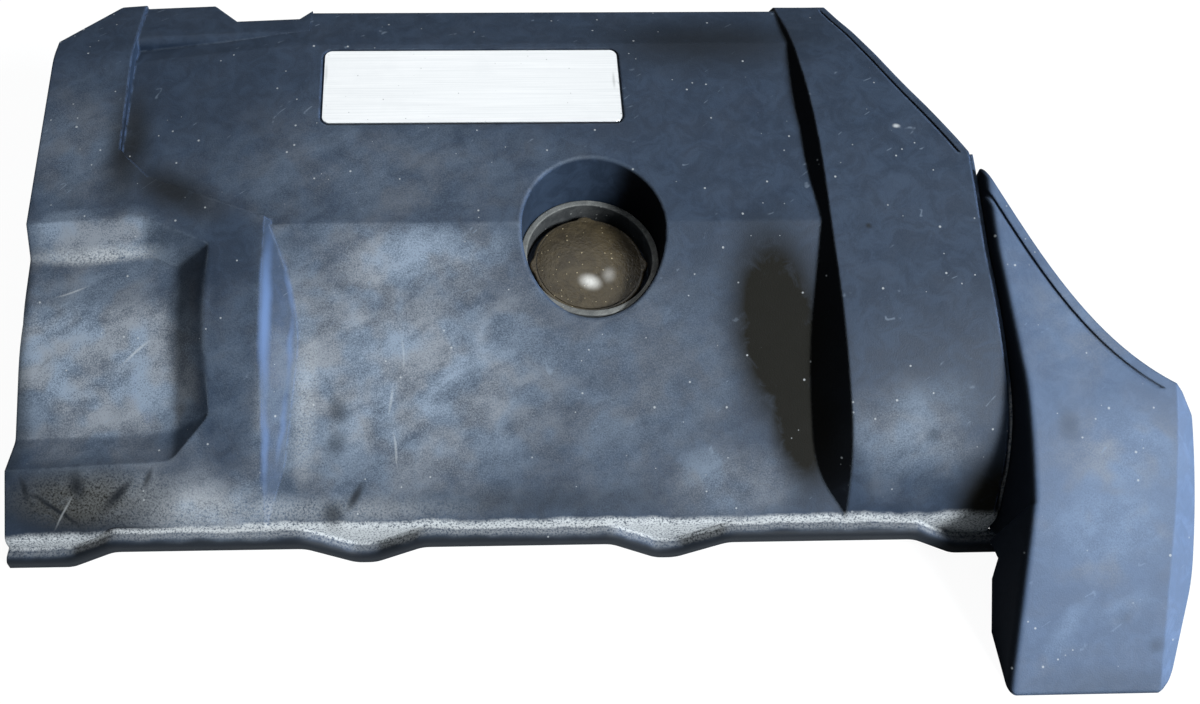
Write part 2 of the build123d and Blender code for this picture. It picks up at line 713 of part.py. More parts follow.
def softened(part, inset):
    """A part of the wing with its left upper edge rounded over."""
    left_x = RIGHT_X + FLANGE_REACH + WING_EDGE_ROUND
    found = []
    for edge in part.edges():
        spots = [edge @ share for share in (0, 0.5, 1)]
        runs_back = abs(spots[0].Y - spots[2].Y) > WING_GAP
        if runs_back and all(spot.X < left_x and spot.Z > -BELOW / 2 for spot in spots):
            found.append(edge)
    return fillet(found, WING_EDGE_ROUND - inset)


def wing_form(inset):
    """The wing's outer form: a falling profile, a bevelled right side, a leaning left wall in front."""
    turn = Location((WING_SHELF_X - inset, 0, 0)) * Rotation(0, 0, WING_TURN)
    tail = (WING_TIP_Y + SPARE * 2, WING_LINE[-1][1])
    points = [shifted(WING_LINE[0], -SPARE, -SPARE), WING_LINE[1], WING_LINE[2], tail]
    face = profile_face(points, [LIP_ROUND, WING_LINE_ROUND, LIP_ROUND, LIP_ROUND], inset, 0).moved(turn)
    body = swept(face, RIGHT_X - WING_SHELF_X - 3 * SPARE, 0)
    body += swept(face, BANK_RUN, BANK_RUN * WING_BEVEL)
    body &= wing_plan(inset)
    lean = Plane(origin=(WING_FOOT_X + inset, 0, 0), x_dir=(0, 1, 0), z_dir=(1, -WING_TOE_IN, -WING_LEAN))
    front_room = lean * Box(4 * ABOVE, 4 * ABOVE, 4 * ABOVE, align=(Align.CENTER, Align.CENTER, Align.MIN))
    front_room &= half_space(0, True)
    rear_room = half_space(0, False) - outline(-FLANGE_REACH - WING_GAP - inset)
    return softened(body & front_room, inset) + softened(body & rear_room, inset)


def side_wing():
    """The wing: a thin shell, open below, with three screw bosses that seat on the main cover's wall."""
    shell = wing_form(0) - wing_form(WALL)
    ends = [(WING_SKIRT[-1][0], -3 * BELOW), (WING_SKIRT[0][0], -3 * BELOW)]
    line = Polyline(*WING_SKIRT, *ends, close=True)
    face = (Plane.YZ.offset(WING_INNER_X - SPARE) * make_face(line.edges())).face()
    shell -= Solid.extrude(face, Vector(WING_SHELF_X - WING_INNER_X + 3 * SPARE, 0, 0))
    for y, z in WING_SCREW_SPOTS:
        shell += along_x(edge_x(y) - WALL, y, z, WING_BOSS_R, WING_BOSS_LENGTH + WALL) - outline(0)
    ring = wing_plan(WING_SCORE_INSET) - wing_plan(WING_SCORE_INSET + SCORE_WIDTH)
    shell -= score_ring(wing_form(0), ring & half_space(WING_BACK[-1][1], False))
    return shell - screw_holes(SCREW_R + SCREW_GAP)


def wing_screws():
    """The three screws, heads inside the main cover."""
    screws = []
    for y, z in WING_SCREW_SPOTS:
        seat = edge_x(y) - WALL - FIT_GAP
        head = along_x(seat - SCREW_HEAD, y, z, SCREW_HEAD_R, SCREW_HEAD)
        screws.append(head + along_x(seat, y, z, SCREW_R, WALL + WING_BOSS_LENGTH - SCREW_SHORT))
    return Compound(children=screws)


def badge_plate():
    """The bare badge plate, a little proud of its recess."""
    low = -BADGE_SINK + TAPE_THICK
    plate = badge_slab(0, low, low + BADGE_THICK)
    top = plate.faces().filter_by(Axis(BADGE_PLANE.origin, BADGE_PLANE.z_dir)).sort_by(Axis.Z)[-1]
    return fillet(top.edges(), BADGE_THICK / 4)


def badge_tape():
    """The tape between the plate and the floor of its recess."""
    return badge_slab(-TAPE_MARGIN, -BADGE_SINK, -BADGE_SINK + TAPE_THICK)


def filler_seal():
    """The rubber collar around the tilted foot of the well."""
    outer_r = WELL_R - FIT_GAP
    ring = upright(WELL_X, WELL_Y, outer_r, 0, ABOVE)
    ring -= upright(WELL_X, WELL_Y, outer_r - SEAL_WIDTH, 0, ABOVE)
    ring = (ring & over_foot(0)) - over_foot(SEAL_HEIGHT)
    top = ring.faces().sort_by(Axis(WELL_PLANE.origin, WELL_PLANE.z_dir))[-1]
    return fillet(top.edges(), SEAL_WIDTH / 4)


def filler_cap():
    """The lobed cap that rests on the floor of the well, its hub in the throat."""
    out = CAP_R + CAP_LOBE_REACH - CAP_LOBE_R
    plan = Circle(CAP_R)
    for step in range(CAP_LOBES):
        plan += Rotation(0, 0, 360 * step / CAP_LOBES) * Location((0, out, 0)) * Circle(CAP_LOBE_R)
    plan = fillet(plan.vertices(), CAP_LOBE_R)
    cap = extrude(plan, CAP_HEIGHT)
    cap = fillet(cap.faces().sort_by(Axis.Z)[-1].edges(), CAP_ROUND)
    dome_r = (CAP_R ** 2 + CAP_DOME ** 2) / (2 * CAP_DOME)
    dome = Location((0, 0, CAP_HEIGHT + CAP_DOME - dome_r)) * Sphere(dome_r)
    cap += dome & upright(0, 0, CAP_R - 2 * CAP_ROUND, CAP_HEIGHT - CAP_ROUND, CAP_HEIGHT + 2 * CAP_DOME)
    cap += upright(0, 0, CAP_HUB_R, -CAP_HUB_DROP, 0)
    return WELL_PLANE * cap


def grommet(x, y):
    """A rubber grommet: a neck in the post's socket and a thick foot with a blind bore for a stud."""
    bush = upright(x, y, POST_R, 0, GROMMET_FLANGE) + upright(x, y, GROMMET_R, 0, GROMMET_LENGTH)
    bush -= upright(x, y, STUD_R, 0, STUD_DEPTH)
    foot = bush.faces().sort_by(Axis.Z)[0]
    return chamfer(foot.edges(), GROMMET_BEVEL)


def foam_pad(left_x, right_x):
    """A foam pad that follows the underside of the roof between two ribs."""
    inner = form(WALL)
    front_y = RIB_FRONT_Y + FOAM_MARGIN
    rear_y = RIB_ROW_Y - RIB_THICK / 2 - FOAM_MARGIN
    size = (right_x - left_x, rear_y - front_y, 2 * ABOVE)
    place = Location(((left_x + right_x) / 2, (front_y + rear_y) / 2, 0))
    pad = place * Box(*size) & inner.moved(Location((0, 0, -FIT_GAP)))
    return pad - inner.moved(Location((0, 0, -FIT_GAP - FOAM_THICK)))


parts = {
    "main_cover": main_cover(),
    "side_wing": side_wing(),
    "wing_screws": wing_screws(),
    "badge_plate": badge_plate(),
    "badge_tape": badge_tape(),
    "filler_seal": filler_seal(),
    "filler_cap": filler_cap(),
    "foam_left": foam_pad(RIB_XS[0] + FOAM_MARGIN, RIB_XS[1] - FOAM_MARGIN),
    "foam_right": foam_pad(RIB_XS[2] + FOAM_MARGIN, POST_RIGHT_X - GUSSET_REACH - FOAM_MARGIN),
}
for side, (post_x, post_y) in POST_SPOTS.items():
    parts["grommet_" + side] = grommet(post_x, post_y)

box = Compound(children=[Compound(part.solids()) for part in parts.values()]).bounding_box()
home = Location((-(box.min.X + box.max.X) / 2, -(box.min.Y + box.max.Y) / 2, -box.min.Z))
os.makedirs("parts", exist_ok=True)
for name, part in parts.items():
    export_step(part.moved(home), "parts/" + name + ".step")
    print(name, len(part.solids()), round(part.volume), part.is_valid)
print("home", home.position, "size", box.size)
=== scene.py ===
"""Dressed scene of a moulded plastic engine cover, with its side wing, plate and filler fittings."""
import logging
import math
from collections.abc import Callable
from dataclasses import dataclass, field
from enum import Enum

import bpy
from mathutils import Matrix, Vector


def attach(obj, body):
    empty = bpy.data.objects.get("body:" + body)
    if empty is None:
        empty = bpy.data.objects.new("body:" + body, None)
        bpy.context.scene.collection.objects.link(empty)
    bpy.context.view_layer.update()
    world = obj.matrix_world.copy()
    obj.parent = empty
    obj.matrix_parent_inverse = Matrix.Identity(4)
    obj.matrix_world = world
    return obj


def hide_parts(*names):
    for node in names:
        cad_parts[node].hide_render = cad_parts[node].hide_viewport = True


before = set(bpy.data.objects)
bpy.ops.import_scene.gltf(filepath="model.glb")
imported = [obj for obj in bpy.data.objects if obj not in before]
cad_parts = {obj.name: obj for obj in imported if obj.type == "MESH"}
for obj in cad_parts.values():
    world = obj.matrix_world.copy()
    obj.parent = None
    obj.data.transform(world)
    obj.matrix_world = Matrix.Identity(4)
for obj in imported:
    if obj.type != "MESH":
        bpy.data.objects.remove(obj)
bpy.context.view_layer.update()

Socket = bpy.types.NodeSocket
Colour = tuple[float, float, float]
Triple = tuple[float, float, float]
Span = tuple[float, float]
Feed = float | Triple | Socket

LOG = logging.getLogger("engine_cover")


# Node wiring


class Graph:
    """A node tree being wired, with a short call for each node that the finishes use."""

    def __init__(self, tree: bpy.types.NodeTree) -> None:
        """Hold the tree that the calls add to."""
        self.tree = tree

    def node(self, kind: str, **settings: object) -> bpy.types.Node:
        """Add one node.

        Args:
            kind: The node's type name.
            settings: Properties to set on the node.

        Returns:
            The new node.
        """
        made = self.tree.nodes.new(kind)
        for name, value in settings.items():
            setattr(made, name, value)
        return made

    def feed(self, socket: Socket, value: Feed) -> None:
        """Link a socket to another one, or set its plain value.

        Args:
            socket: The input to feed.
            value: An output socket, a number, a vector or a colour.
        """
        if isinstance(value, bpy.types.NodeSocket):
            self.tree.links.new(value, socket)
        elif socket.type == "RGBA":
            socket.default_value = (*value, 1.0)
        else:
            socket.default_value = value

    def feed_all(self, node: bpy.types.Node, **parts: Feed) -> bpy.types.Node:
        """Feed several inputs of a node.

        Args:
            node: The node.
            parts: What to feed, by the input's name with a low line for each space.

        Returns:
            The same node.
        """
        for name, part in parts.items():
            self.feed(node.inputs[name.replace("_", " ")], part)
        return node

    def math(self, operation: str, first: Feed, second: Feed = 0.0, clamp: bool = False) -> Socket:
        """Combine two numbers.

        Args:
            operation: The Math node's operation.
            first: The first number.
            second: The second number.
            clamp: Whether the result is kept between 0 and 1.

        Returns:
            The result.
        """
        made = self.node("ShaderNodeMath", operation=operation, use_clamp=clamp)
        self.feed(made.inputs[0], first)
        self.feed(made.inputs[1], second)
        return made.outputs[0]

    def times(self, first: Feed, second: Feed, clamp: bool = False) -> Feed:
        """Return one amount times another, or plain 0 where one of them is nothing."""
        return 0.0 if first == 0.0 or second == 0.0 else self.math("MULTIPLY", first, second, clamp)

    def plus(self, first: Feed, second: Feed, clamp: bool = False) -> Feed:
        """Return the sum of an amount, which may be nothing, and another one."""
        return second if first == 0.0 else self.math("ADD", first, second, clamp)

    def larger(self, first: Feed, second: Feed) -> Feed:
        """Return the larger one of an amount, which may be nothing, and another one."""
        return second if first == 0.0 else self.math("MAXIMUM", first, second)

    def without(self, amount: Feed, taken: Feed) -> Feed:
        """Return an amount less the share of it that is taken, which may be nothing."""
        return amount if taken == 0.0 else self.times(amount, self.math("SUBTRACT", 1.0, taken))

    def vector(self, operation: str, *parts: Feed) -> Socket:
        """Combine vectors.

        Args:
            operation: The Vector Math node's operation.
            parts: The vectors, in the order of the node's inputs.

        Returns:
            The resulting vector, or the number for an operation that gives one.
        """
        made = self.node("ShaderNodeVectorMath", operation=operation)
        for socket, part in zip(made.inputs, parts):
            self.feed(socket, part)
        return made.outputs["Value" if operation in ("LENGTH", "DOT_PRODUCT") else "Vector"]

    def ramp(self, value: Feed, start: Feed, end: Feed, low: Feed = 0.0, high: Feed = 1.0) -> Socket:
        """Turn a number into a soft step.

        Args:
            value: The number.
            start: Where the step begins.
            end: Where the step ends.
            low: What comes out before the step.
            high: What comes out after it.

        Returns:
            The stepped number.
        """
        made = self.node("ShaderNodeMapRange", interpolation_type="SMOOTHSTEP")
        self.feed_all(made, Value=value, From_Min=start, From_Max=end, To_Min=low, To_Max=high)
        return made.outputs[0]

    def blend(self, factor: Feed, under: Feed, over: Feed) -> Feed:
        """Lay one colour over another.

        Args:
            factor: How much of the upper colour shows, which may be nothing.
            under: The lower colour.
            over: The upper colour.

        Returns:
            The mixed colour.
        """
        if factor == 0.0:
            return under
        made = self.node("ShaderNodeMix", data_type="RGBA", blend_type="MIX")
        self.feed(made.inputs[0], factor)
        self.feed(made.inputs[6], under)
        self.feed(made.inputs[7], over)
        return made.outputs[2]

    def noise(
        self, point: Feed, scale: Feed, detail: float = 3.0, rough: float = 0.55, bend: float = 0.0,
        coloured: bool = False,
    ) -> Socket:
        """Add a noise.

        Args:
            point: Where it is read.
            scale: Its features per metre.
            detail: Its number of octaves.
            rough: The weight of the finer octaves.
            bend: Its distortion.
            coloured: Whether it gives three values at once, as a colour.

        Returns:
            The noise's value, or its colour.
        """
        made = self.node("ShaderNodeTexNoise")
        self.feed_all(made, Vector=point, Scale=scale, Detail=detail, Roughness=rough, Distortion=bend)
        return made.outputs[1 if coloured else 0]

    def turned(self, point: Feed, angle: Feed, centre: Triple = (0.0, 0.0, 0.0)) -> Socket:
        """Turn a reading point about Z, so that the pattern read there turns the other way.

        Args:
            point: Where the pattern is read.
            angle: The turn in radians.
            centre: What it turns about.

        Returns:
            The new reading point.
        """
        made = self.node("ShaderNodeVectorRotate", rotation_type="Z_AXIS")
        return self.feed_all(made, Vector=point, Center=centre, Angle=angle).outputs[0]

    def split(self, kind: str, value: Feed) -> tuple[Socket, Socket, Socket]:
        """Part a vector or a colour into its three numbers.

        Args:
            kind: What is parted, XYZ or Color.
            value: The vector or the colour.

        Returns:
            The three numbers.
        """
        made = self.node("ShaderNodeSeparate" + kind)
        self.feed(made.inputs[0], value)
        return made.outputs[0], made.outputs[1], made.outputs[2]

    def bump(self, height: Feed, strength: float, depth: float, normal: Socket | None = None) -> Socket:
        """Raise a fine relief.

        Args:
            height: The relief, from 0 to 1.
            strength: How strongly it shows.
            depth: Its depth in metres.
            normal: The normal that it stands on, or nothing for the surface's own.

        Returns:
            The normal with the relief.
        """
        made = self.feed_all(self.node("ShaderNodeBump"), Height=height, Strength=strength, Distance=depth)
        if normal is not None:
            self.feed(made.inputs["Normal"], normal)
        return made.outputs[0]

    def place(self) -> Socket:
        """Return the surface point in the part's own frame."""
        return self.node("ShaderNodeTexCoord").outputs["Object"]


# Shared surface effects


class Effect(Enum):
    """The effects that more than one finish uses."""

    GRAIN = "moulded_grain"
    FILM = "dust_film"
    SPECKS = "light_specks"
    SCRATCHES = "thin_scratches"
    EDGES = "edge_line"


class Kind(Enum):
    """The kinds of input that an effect takes."""

    NUMBER = "NodeSocketFloat"
    VECTOR = "NodeSocketVector"


Given = dict[str, Socket]


class EffectShelf:
    """Builds each shared effect once, as a node group, and places it in the finishes.

    A stretch draws a pattern out along X after its turn, and a fineness multiplies the effect's own scale.
    """

    wipe_stretch: Triple = (0.30, 1.0, 0.7)
    wipe_fineness: float = 1.9
    powder_fineness: float = 25.0
    mottle_weight: float = 0.32
    wipe_weight: float = 0.26
    powder_weight: float = 0.42
    film_step: Span = (0.32, 0.68)
    film_range: Span = (0.30, 1.70)
    speck_core: float = 0.55
    speck_least: float = 0.35
    scratch_stretch: Triple = (0.11, 1.0, 0.7)
    scratch_width: Span = (0.003, 0.012)
    break_fineness: float = 1.3
    break_level: float = 0.74
    break_share: float = 0.44
    break_soft: float = 0.07
    edge_step: Span = (0.995, 0.93)
    edge_breaks: float = 120.0
    edge_gaps: Span = (0.30, 0.58)

    def __init__(self) -> None:
        """Start with nothing built."""
        self.built: dict[Effect, bpy.types.NodeTree] = {}

    def use(self, graph: Graph, effect: Effect, **inputs: Feed) -> Socket:
        """Place an effect in a material.

        Args:
            graph: The material's nodes.
            effect: The effect to place.
            inputs: The effect's inputs, by name.

        Returns:
            The effect's output.
        """
        if effect not in self.built:
            self.built[effect] = self.build(effect)
        placed = graph.node("ShaderNodeGroup", node_tree=self.built[effect])
        return graph.feed_all(placed, **inputs).outputs[0]

    def build(self, effect: Effect) -> bpy.types.NodeTree:
        """Build an effect's node group.

        Args:
            effect: The effect to build.

        Returns:
            The group.
        """
        number = Kind.NUMBER
        recipes: dict[Effect, tuple[Callable[[Graph, Given], Socket], dict[str, Kind]]] = {
            Effect.GRAIN: (self.grain, {"Fineness": number}),
            Effect.FILM: (self.film, {"Cover": number, "Mottle": number, "Turn": number}),
            Effect.SPECKS: (self.specks, {"Pitch": number, "Share": number, "Size": number}),
            Effect.SCRATCHES: (self.scratches, {"Turn": number, "Fineness": number, "Share": number}),
            Effect.EDGES: (self.edges, {"Rounded": Kind.VECTOR}),
        }
        recipe, inputs = recipes[effect]
        tree = bpy.data.node_groups.new(effect.value, "ShaderNodeTree")
        for name, kind in inputs.items():
            tree.interface.new_socket(name, in_out="INPUT", socket_type=kind.value)
        tree.interface.new_socket("Amount", in_out="OUTPUT", socket_type=number.value)
        graph = Graph(tree)
        source = graph.node("NodeGroupInput")
        result = recipe(graph, {name: source.outputs[name] for name in inputs})
        graph.feed(graph.node("NodeGroupOutput").inputs[0], result)
        return tree

    def grain(self, graph: Graph, given: Given) -> Socket:
        """Wire the fine grain of a moulded skin.

        Args:
            graph: The group's nodes.
            given: The group's inputs.

        Returns:
            The grain's height.
        """
        return graph.noise(graph.place(), given["Fineness"], detail=1.0, rough=0.7)

    def film(self, graph: Graph, given: Given) -> Socket:
        """Wire a patchy film of dust, drawn out into wipes that lie one way.

        Args:
            graph: The group's nodes.
            given: The group's inputs.

        Returns:
            How much dust lies at the point.
        """
        point = graph.place()
        turned = graph.turned(point, graph.times(given["Turn"], -1.0))
        drawn = graph.vector("MULTIPLY", turned, self.wipe_stretch)
        mottles = graph.noise(point, given["Mottle"], detail=2.0, rough=0.5, bend=0.5)
        wipe_scale = graph.times(given["Mottle"], self.wipe_fineness)
        wipes = graph.noise(drawn, wipe_scale, detail=2.0, rough=0.62, bend=0.5)
        powder_scale = graph.times(given["Mottle"], self.powder_fineness)
        powder = graph.noise(point, powder_scale, detail=1.0, rough=0.8)
        mixed = graph.plus(graph.times(mottles, self.mottle_weight), graph.times(wipes, self.wipe_weight))
        mixed = graph.plus(mixed, graph.times(powder, self.powder_weight))
        share = graph.ramp(mixed, *self.film_step, *self.film_range)
        return graph.times(given["Cover"], share, clamp=True)

    def specks(self, graph: Graph, given: Given) -> Socket:
        """Wire scattered round specks of uneven size.

        Args:
            graph: The group's nodes.
            given: The group's inputs.

        Returns:
            One on a speck and nothing between.
        """
        cell = graph.node("ShaderNodeTexVoronoi", feature="F1")
        graph.feed_all(cell, Vector=graph.place(), Scale=given["Pitch"])
        lot, size, _ = graph.split("Color", cell.outputs["Color"])
        chosen = graph.math("LESS_THAN", lot, given["Share"])
        reach = graph.times(given["Size"], graph.plus(size, self.speck_least))
        dot = graph.ramp(cell.outputs["Distance"], graph.times(reach, self.speck_core), reach, 1.0, 0.0)
        return graph.times(dot, chosen)

    def scratches(self, graph: Graph, given: Given) -> Socket:
        """Wire thin bent scratches that lie roughly one way.

        Args:
            graph: The group's nodes.
            given: The group's inputs.

        Returns:
            How strong a scratch is at the point.
        """
        turned = graph.turned(graph.place(), graph.times(given["Turn"], -1.0))
        drawn = graph.vector("MULTIPLY", turned, self.scratch_stretch)
        bands = graph.noise(drawn, given["Fineness"], detail=1.0, rough=0.5, bend=0.25)
        middle = graph.math("ABSOLUTE", graph.math("SUBTRACT", bands, 0.5))
        line = graph.ramp(middle, *self.scratch_width, 1.0, 0.0)
        break_scale = graph.times(given["Fineness"], self.break_fineness)
        broken = graph.noise(graph.place(), break_scale, detail=2.0)
        level = graph.math("SUBTRACT", self.break_level, graph.times(given["Share"], self.break_share))
        return graph.times(line, graph.ramp(broken, level, graph.plus(level, self.break_soft)))

    def edges(self, graph: Graph, given: Given) -> Socket:
        """Wire the line along the edges, where the rounded normal leaves the face's own.

        Args:
            graph: The group's nodes.
            given: The group's inputs.

        Returns:
            How near an edge the point is.
        """
        plain = graph.node("ShaderNodeNewGeometry").outputs["Normal"]
        near = graph.ramp(graph.vector("DOT_PRODUCT", given["Rounded"], plain), *self.edge_step)
        broken = graph.noise(graph.place(), self.edge_breaks, detail=2.0, rough=0.65)
        return graph.times(near, graph.ramp(broken, *self.edge_gaps))


SHELF = EffectShelf()


# Finishes


@dataclass(frozen=True)
class Mark:
    """One patch or stroke on a surface: its centre, half sizes, weight, turn about Z and soft share.

    Lengths are in metres and the turn is in degrees.
    """

    at: Triple
    reach: Triple
    weight: float = 1.0
    turn: float = 0.0
    soft: float = 0.9

    def amount(self, graph: Graph, point: Feed) -> Socket:
        """Wire the mark.

        Args:
            graph: The material's nodes.
            point: Where the mark is read.

        Returns:
            How strong the mark is at the point.
        """
        if self.turn:
            point = graph.turned(point, -math.radians(self.turn), self.at)
        stretch = tuple(1.0 / half for half in self.reach)
        offset = tuple(-place / half for place, half in zip(self.at, self.reach))
        far = graph.vector("LENGTH", graph.vector("MULTIPLY_ADD", point, stretch, offset))
        return graph.ramp(far, 1.0 - self.soft, 1.0, self.weight, 0.0)


def strongest(graph: Graph, point: Feed, marks: tuple[Mark, ...]) -> Feed:
    """Lay several marks over each other.

    Args:
        graph: The material's nodes.
        point: Where the marks are read.
        marks: The marks.

    Returns:
        The strongest mark's amount at the point, or plain 0 without marks.
    """
    total: Feed = 0.0
    for mark in marks:
        total = graph.larger(total, mark.amount(graph, point))
    return total


def start_material(name: str) -> tuple[bpy.types.Material, Graph, bpy.types.Node]:
    """Make an empty material with one Principled shader.

    Args:
        name: The material's name.

    Returns:
        The material, its nodes and the shader.
    """
    material = bpy.data.materials.new(name)
    material.use_nodes = True
    material.node_tree.nodes.clear()
    graph = Graph(material.node_tree)
    shader = graph.node("ShaderNodeBsdfPrincipled")
    graph.feed(graph.node("ShaderNodeOutputMaterial").inputs["Surface"], shader.outputs[0])
    return material, graph, shader


@dataclass(frozen=True)
class Surface:
    """What a dusty finish reads at a point: reading points, the rounded normal, facings and patterns."""

    point: Socket
    loose: Socket
    tight: Socket
    rounded: Socket
    upward: Socket
    leftward: Feed
    rightward: Socket
    frontward: Socket
    patches: Socket
    tint: Socket
    edge: Socket


@dataclass(frozen=True)
class DustyPlastic:
    """A grained dark plastic with a dust film, chalky creases, dirt, stains, scratches and pale edges, and
    painted light and shade.

    Lengths are in metres, turns in degrees and scales in features per metre. A facing's span says where on
    the rounded normal it begins and where it is full. The marks say where each kind of wear, painted shadow,
    painted shade and painted highlight lies.
    """

    name: str
    base: Colour
    faded: Colour
    dust: Colour = (0.205, 0.250, 0.310)
    warm: Colour = (0.218, 0.236, 0.262)
    chalk: Colour = (0.500, 0.515, 0.520)
    # Of the next five colours, the first paints dirt and painted shadow, the second painted shade, the third
    # stains and painted shade, the fourth painted sheen and the fifth painted highlights.
    grime_and_shadow_colour: Colour = (0.009, 0.0085, 0.0065)
    shade: Colour = (0.003, 0.003, 0.003)
    soot_and_shade: Colour = (0.009, 0.011, 0.014)
    sheen: Colour = (0.034, 0.057, 0.106)
    glow: Colour = (0.095, 0.155, 0.295)
    gloss: float = 0.18
    roughness: float = 0.54
    film: float = 0.03
    scratched: float = 0.26
    wipe_turn: float = 24.0
    scratch_turn: float = 34.0
    edge_round: float = 0.0022
    loose_shift: float = 0.026
    tight_shift: float = 0.005
    swirl_scale: float = 34.0
    patch_scale: float = 74.0
    mottle_scale: float = 46.0
    scratch_scale: float = 70.0
    crumb_scale: float = 820.0
    speck_scale: float = 230.0
    grain_scale: float = 1150.0
    grain_depth: float = 0.00035
    grain_strength: float = 0.30
    faces_up: Span = (0.15, 0.70)
    faces_left: Span = (-0.30, -0.62)
    faces_right: Span = (0.22, 0.62)
    faces_front: Span = (-0.36, -0.50)
    level_dust: float = 0.40
    side_wiped: float = 0.5
    fade_step: Span = (0.36, 0.68)
    sheen_step: Span = (0.30, 0.62)
    sheen_least: float = 0.45
    warm_step: Span = (0.42, 0.60)
    grime_and_shadow_step: Span = (0.26, 0.56)
    grime_and_shadow_least: float = 0.72
    crumb_step: Span = (0.28, 0.62)
    grime_and_shadow_on_chalk: float = 0.45
    rubbed: float = 0.34
    shaded: float = 0.94
    speckled: float = 0.50
    speck_share: float = 0.10
    speck_size: float = 0.17
    grime_and_shadow_dulls: float = 0.75
    shade_dulls: float = 0.85
    film_roughens: float = 0.26
    patch_roughens: float = 0.14
    dusty: tuple[Mark, ...] = ()
    chalky: tuple[Mark, ...] = ()
    grime_and_shadow_marks: tuple[Mark, ...] = ()
    stain_and_shade_marks: tuple[Mark, ...] = ()
    pale: tuple[Mark, ...] = ()
    glowing: tuple[Mark, ...] = ()
    wiped: tuple[Mark, ...] = ()
    lifted: tuple[Mark, ...] = ()
    sunken: tuple[Mark, ...] = ()
    softer: tuple[Mark, ...] = ()

    def material(self) -> bpy.types.Material:
        """Build the material.

        Returns:
            The material.
        """
        material, graph, shader = start_material(self.name)
        seen = self.read(graph)
        film = self.dust_film(graph, seen)
        uneven = graph.ramp(seen.patches, *self.grime_and_shadow_step, self.grime_and_shadow_least, 1.0)
        # Dirt and painted shadow: the marks lay dark dirt and also shadows of raised parts, broken up by
        # patches.
        grime_and_shadow = graph.times(strongest(graph, seen.tight, self.grime_and_shadow_marks), uneven, clamp=True)
        skin = self.worn_skin(graph, seen, self.dusted_skin(graph, seen, film), grime_and_shadow)
        dulled = graph.plus(graph.times(film, self.film_roughens), self.roughness - self.patch_roughens / 2)
        rough = graph.plus(dulled, graph.times(seen.patches, self.patch_roughens), clamp=True)
        hidden = graph.times(seen.leftward, self.shade_dulls)
        hidden = graph.larger(graph.times(grime_and_shadow, self.grime_and_shadow_dulls), hidden)
        gloss = graph.without(self.gloss, hidden)
        grain = SHELF.use(graph, Effect.GRAIN, Fineness=self.grain_scale)
        relief = graph.bump(grain, self.grain_strength, self.grain_depth, seen.rounded)
        graph.feed_all(shader, Base_Color=skin, Roughness=rough, Specular_IOR_Level=gloss, Normal=relief)
        return material

    def read(self, graph: Graph) -> Surface:
        """Wire what the finish reads at a point.

        Args:
            graph: The material's nodes.

        Returns:
            The readings.
        """
        point = graph.place()
        swirl = graph.noise(point, self.swirl_scale, detail=2.0, rough=0.6, coloured=True)
        shift = graph.vector("SUBTRACT", swirl, (0.5, 0.5, 0.5))
        loose = graph.vector("ADD", point, graph.vector("MULTIPLY", shift, (self.loose_shift,) * 3))
        tight = graph.vector("ADD", point, graph.vector("MULTIPLY", shift, (self.tight_shift,) * 3))
        bevel = graph.node("ShaderNodeBevel", samples=2)
        radius = graph.plus(strongest(graph, point, self.softer), self.edge_round)
        rounded = graph.feed_all(bevel, Radius=radius).outputs[0]
        across, along, up = graph.split("XYZ", rounded)
        leftward = graph.ramp(across, *self.faces_left)
        return Surface(
            point=point, loose=loose, tight=tight, rounded=rounded,
            upward=graph.ramp(up, *self.faces_up),
            leftward=graph.without(leftward, strongest(graph, point, self.lifted)),
            rightward=graph.ramp(across, *self.faces_right),
            frontward=graph.ramp(along, *self.faces_front, self.level_dust, 1.0),
            patches=graph.noise(point, self.patch_scale, detail=3.0, rough=0.74, bend=0.8),
            tint=graph.split("Color", swirl)[1],
            edge=SHELF.use(graph, Effect.EDGES, Rounded=rounded),
        )

    def dust_film(self, graph: Graph, seen: Surface) -> Feed:
        """Wire the dust film on the faces that look up.

        Args:
            graph: The material's nodes.
            seen: The readings at the point.

        Returns:
            How much dust lies at the point.
        """
        settled = graph.times(strongest(graph, seen.loose, self.dusty), seen.frontward)
        cleared = graph.times(seen.rightward, self.side_wiped)
        cleared = graph.larger(strongest(graph, seen.point, self.wiped), cleared)
        cover = graph.without(graph.plus(settled, self.film), cleared)
        turn = math.radians(self.wipe_turn)
        film = SHELF.use(graph, Effect.FILM, Cover=cover, Mottle=self.mottle_scale, Turn=turn)
        return graph.times(film, seen.upward)

    def dusted_skin(self, graph: Graph, seen: Surface, film: Feed) -> Feed:
        """Wire the plastic's colour with its painted sheen on faces that turn right, its dust and its
        scratches.

        Args:
            graph: The material's nodes.
            seen: The readings at the point.
            film: How much dust lies at the point.

        Returns:
            The colour.
        """
        skin = graph.blend(graph.ramp(seen.patches, *self.fade_step), self.base, self.faded)
        # Painted sheen on faces that turn right, towards the key lamp, left off where the marks say.
        lit = graph.without(seen.rightward, strongest(graph, seen.point, self.sunken))
        lit = graph.times(lit, graph.ramp(seen.patches, *self.sheen_step, 1.0, self.sheen_least))
        skin = graph.blend(lit, skin, self.sheen)
        powder = graph.blend(graph.ramp(seen.tint, *self.warm_step), self.dust, self.warm)
        skin = graph.blend(film, skin, powder)
        lines = SHELF.use(
            graph, Effect.SCRATCHES, Turn=math.radians(self.scratch_turn), Fineness=self.scratch_scale,
            Share=self.scratched,
        )
        rubbed = graph.times(graph.larger(seen.edge, lines), seen.upward)
        return graph.blend(graph.times(rubbed, self.rubbed), skin, self.dust)

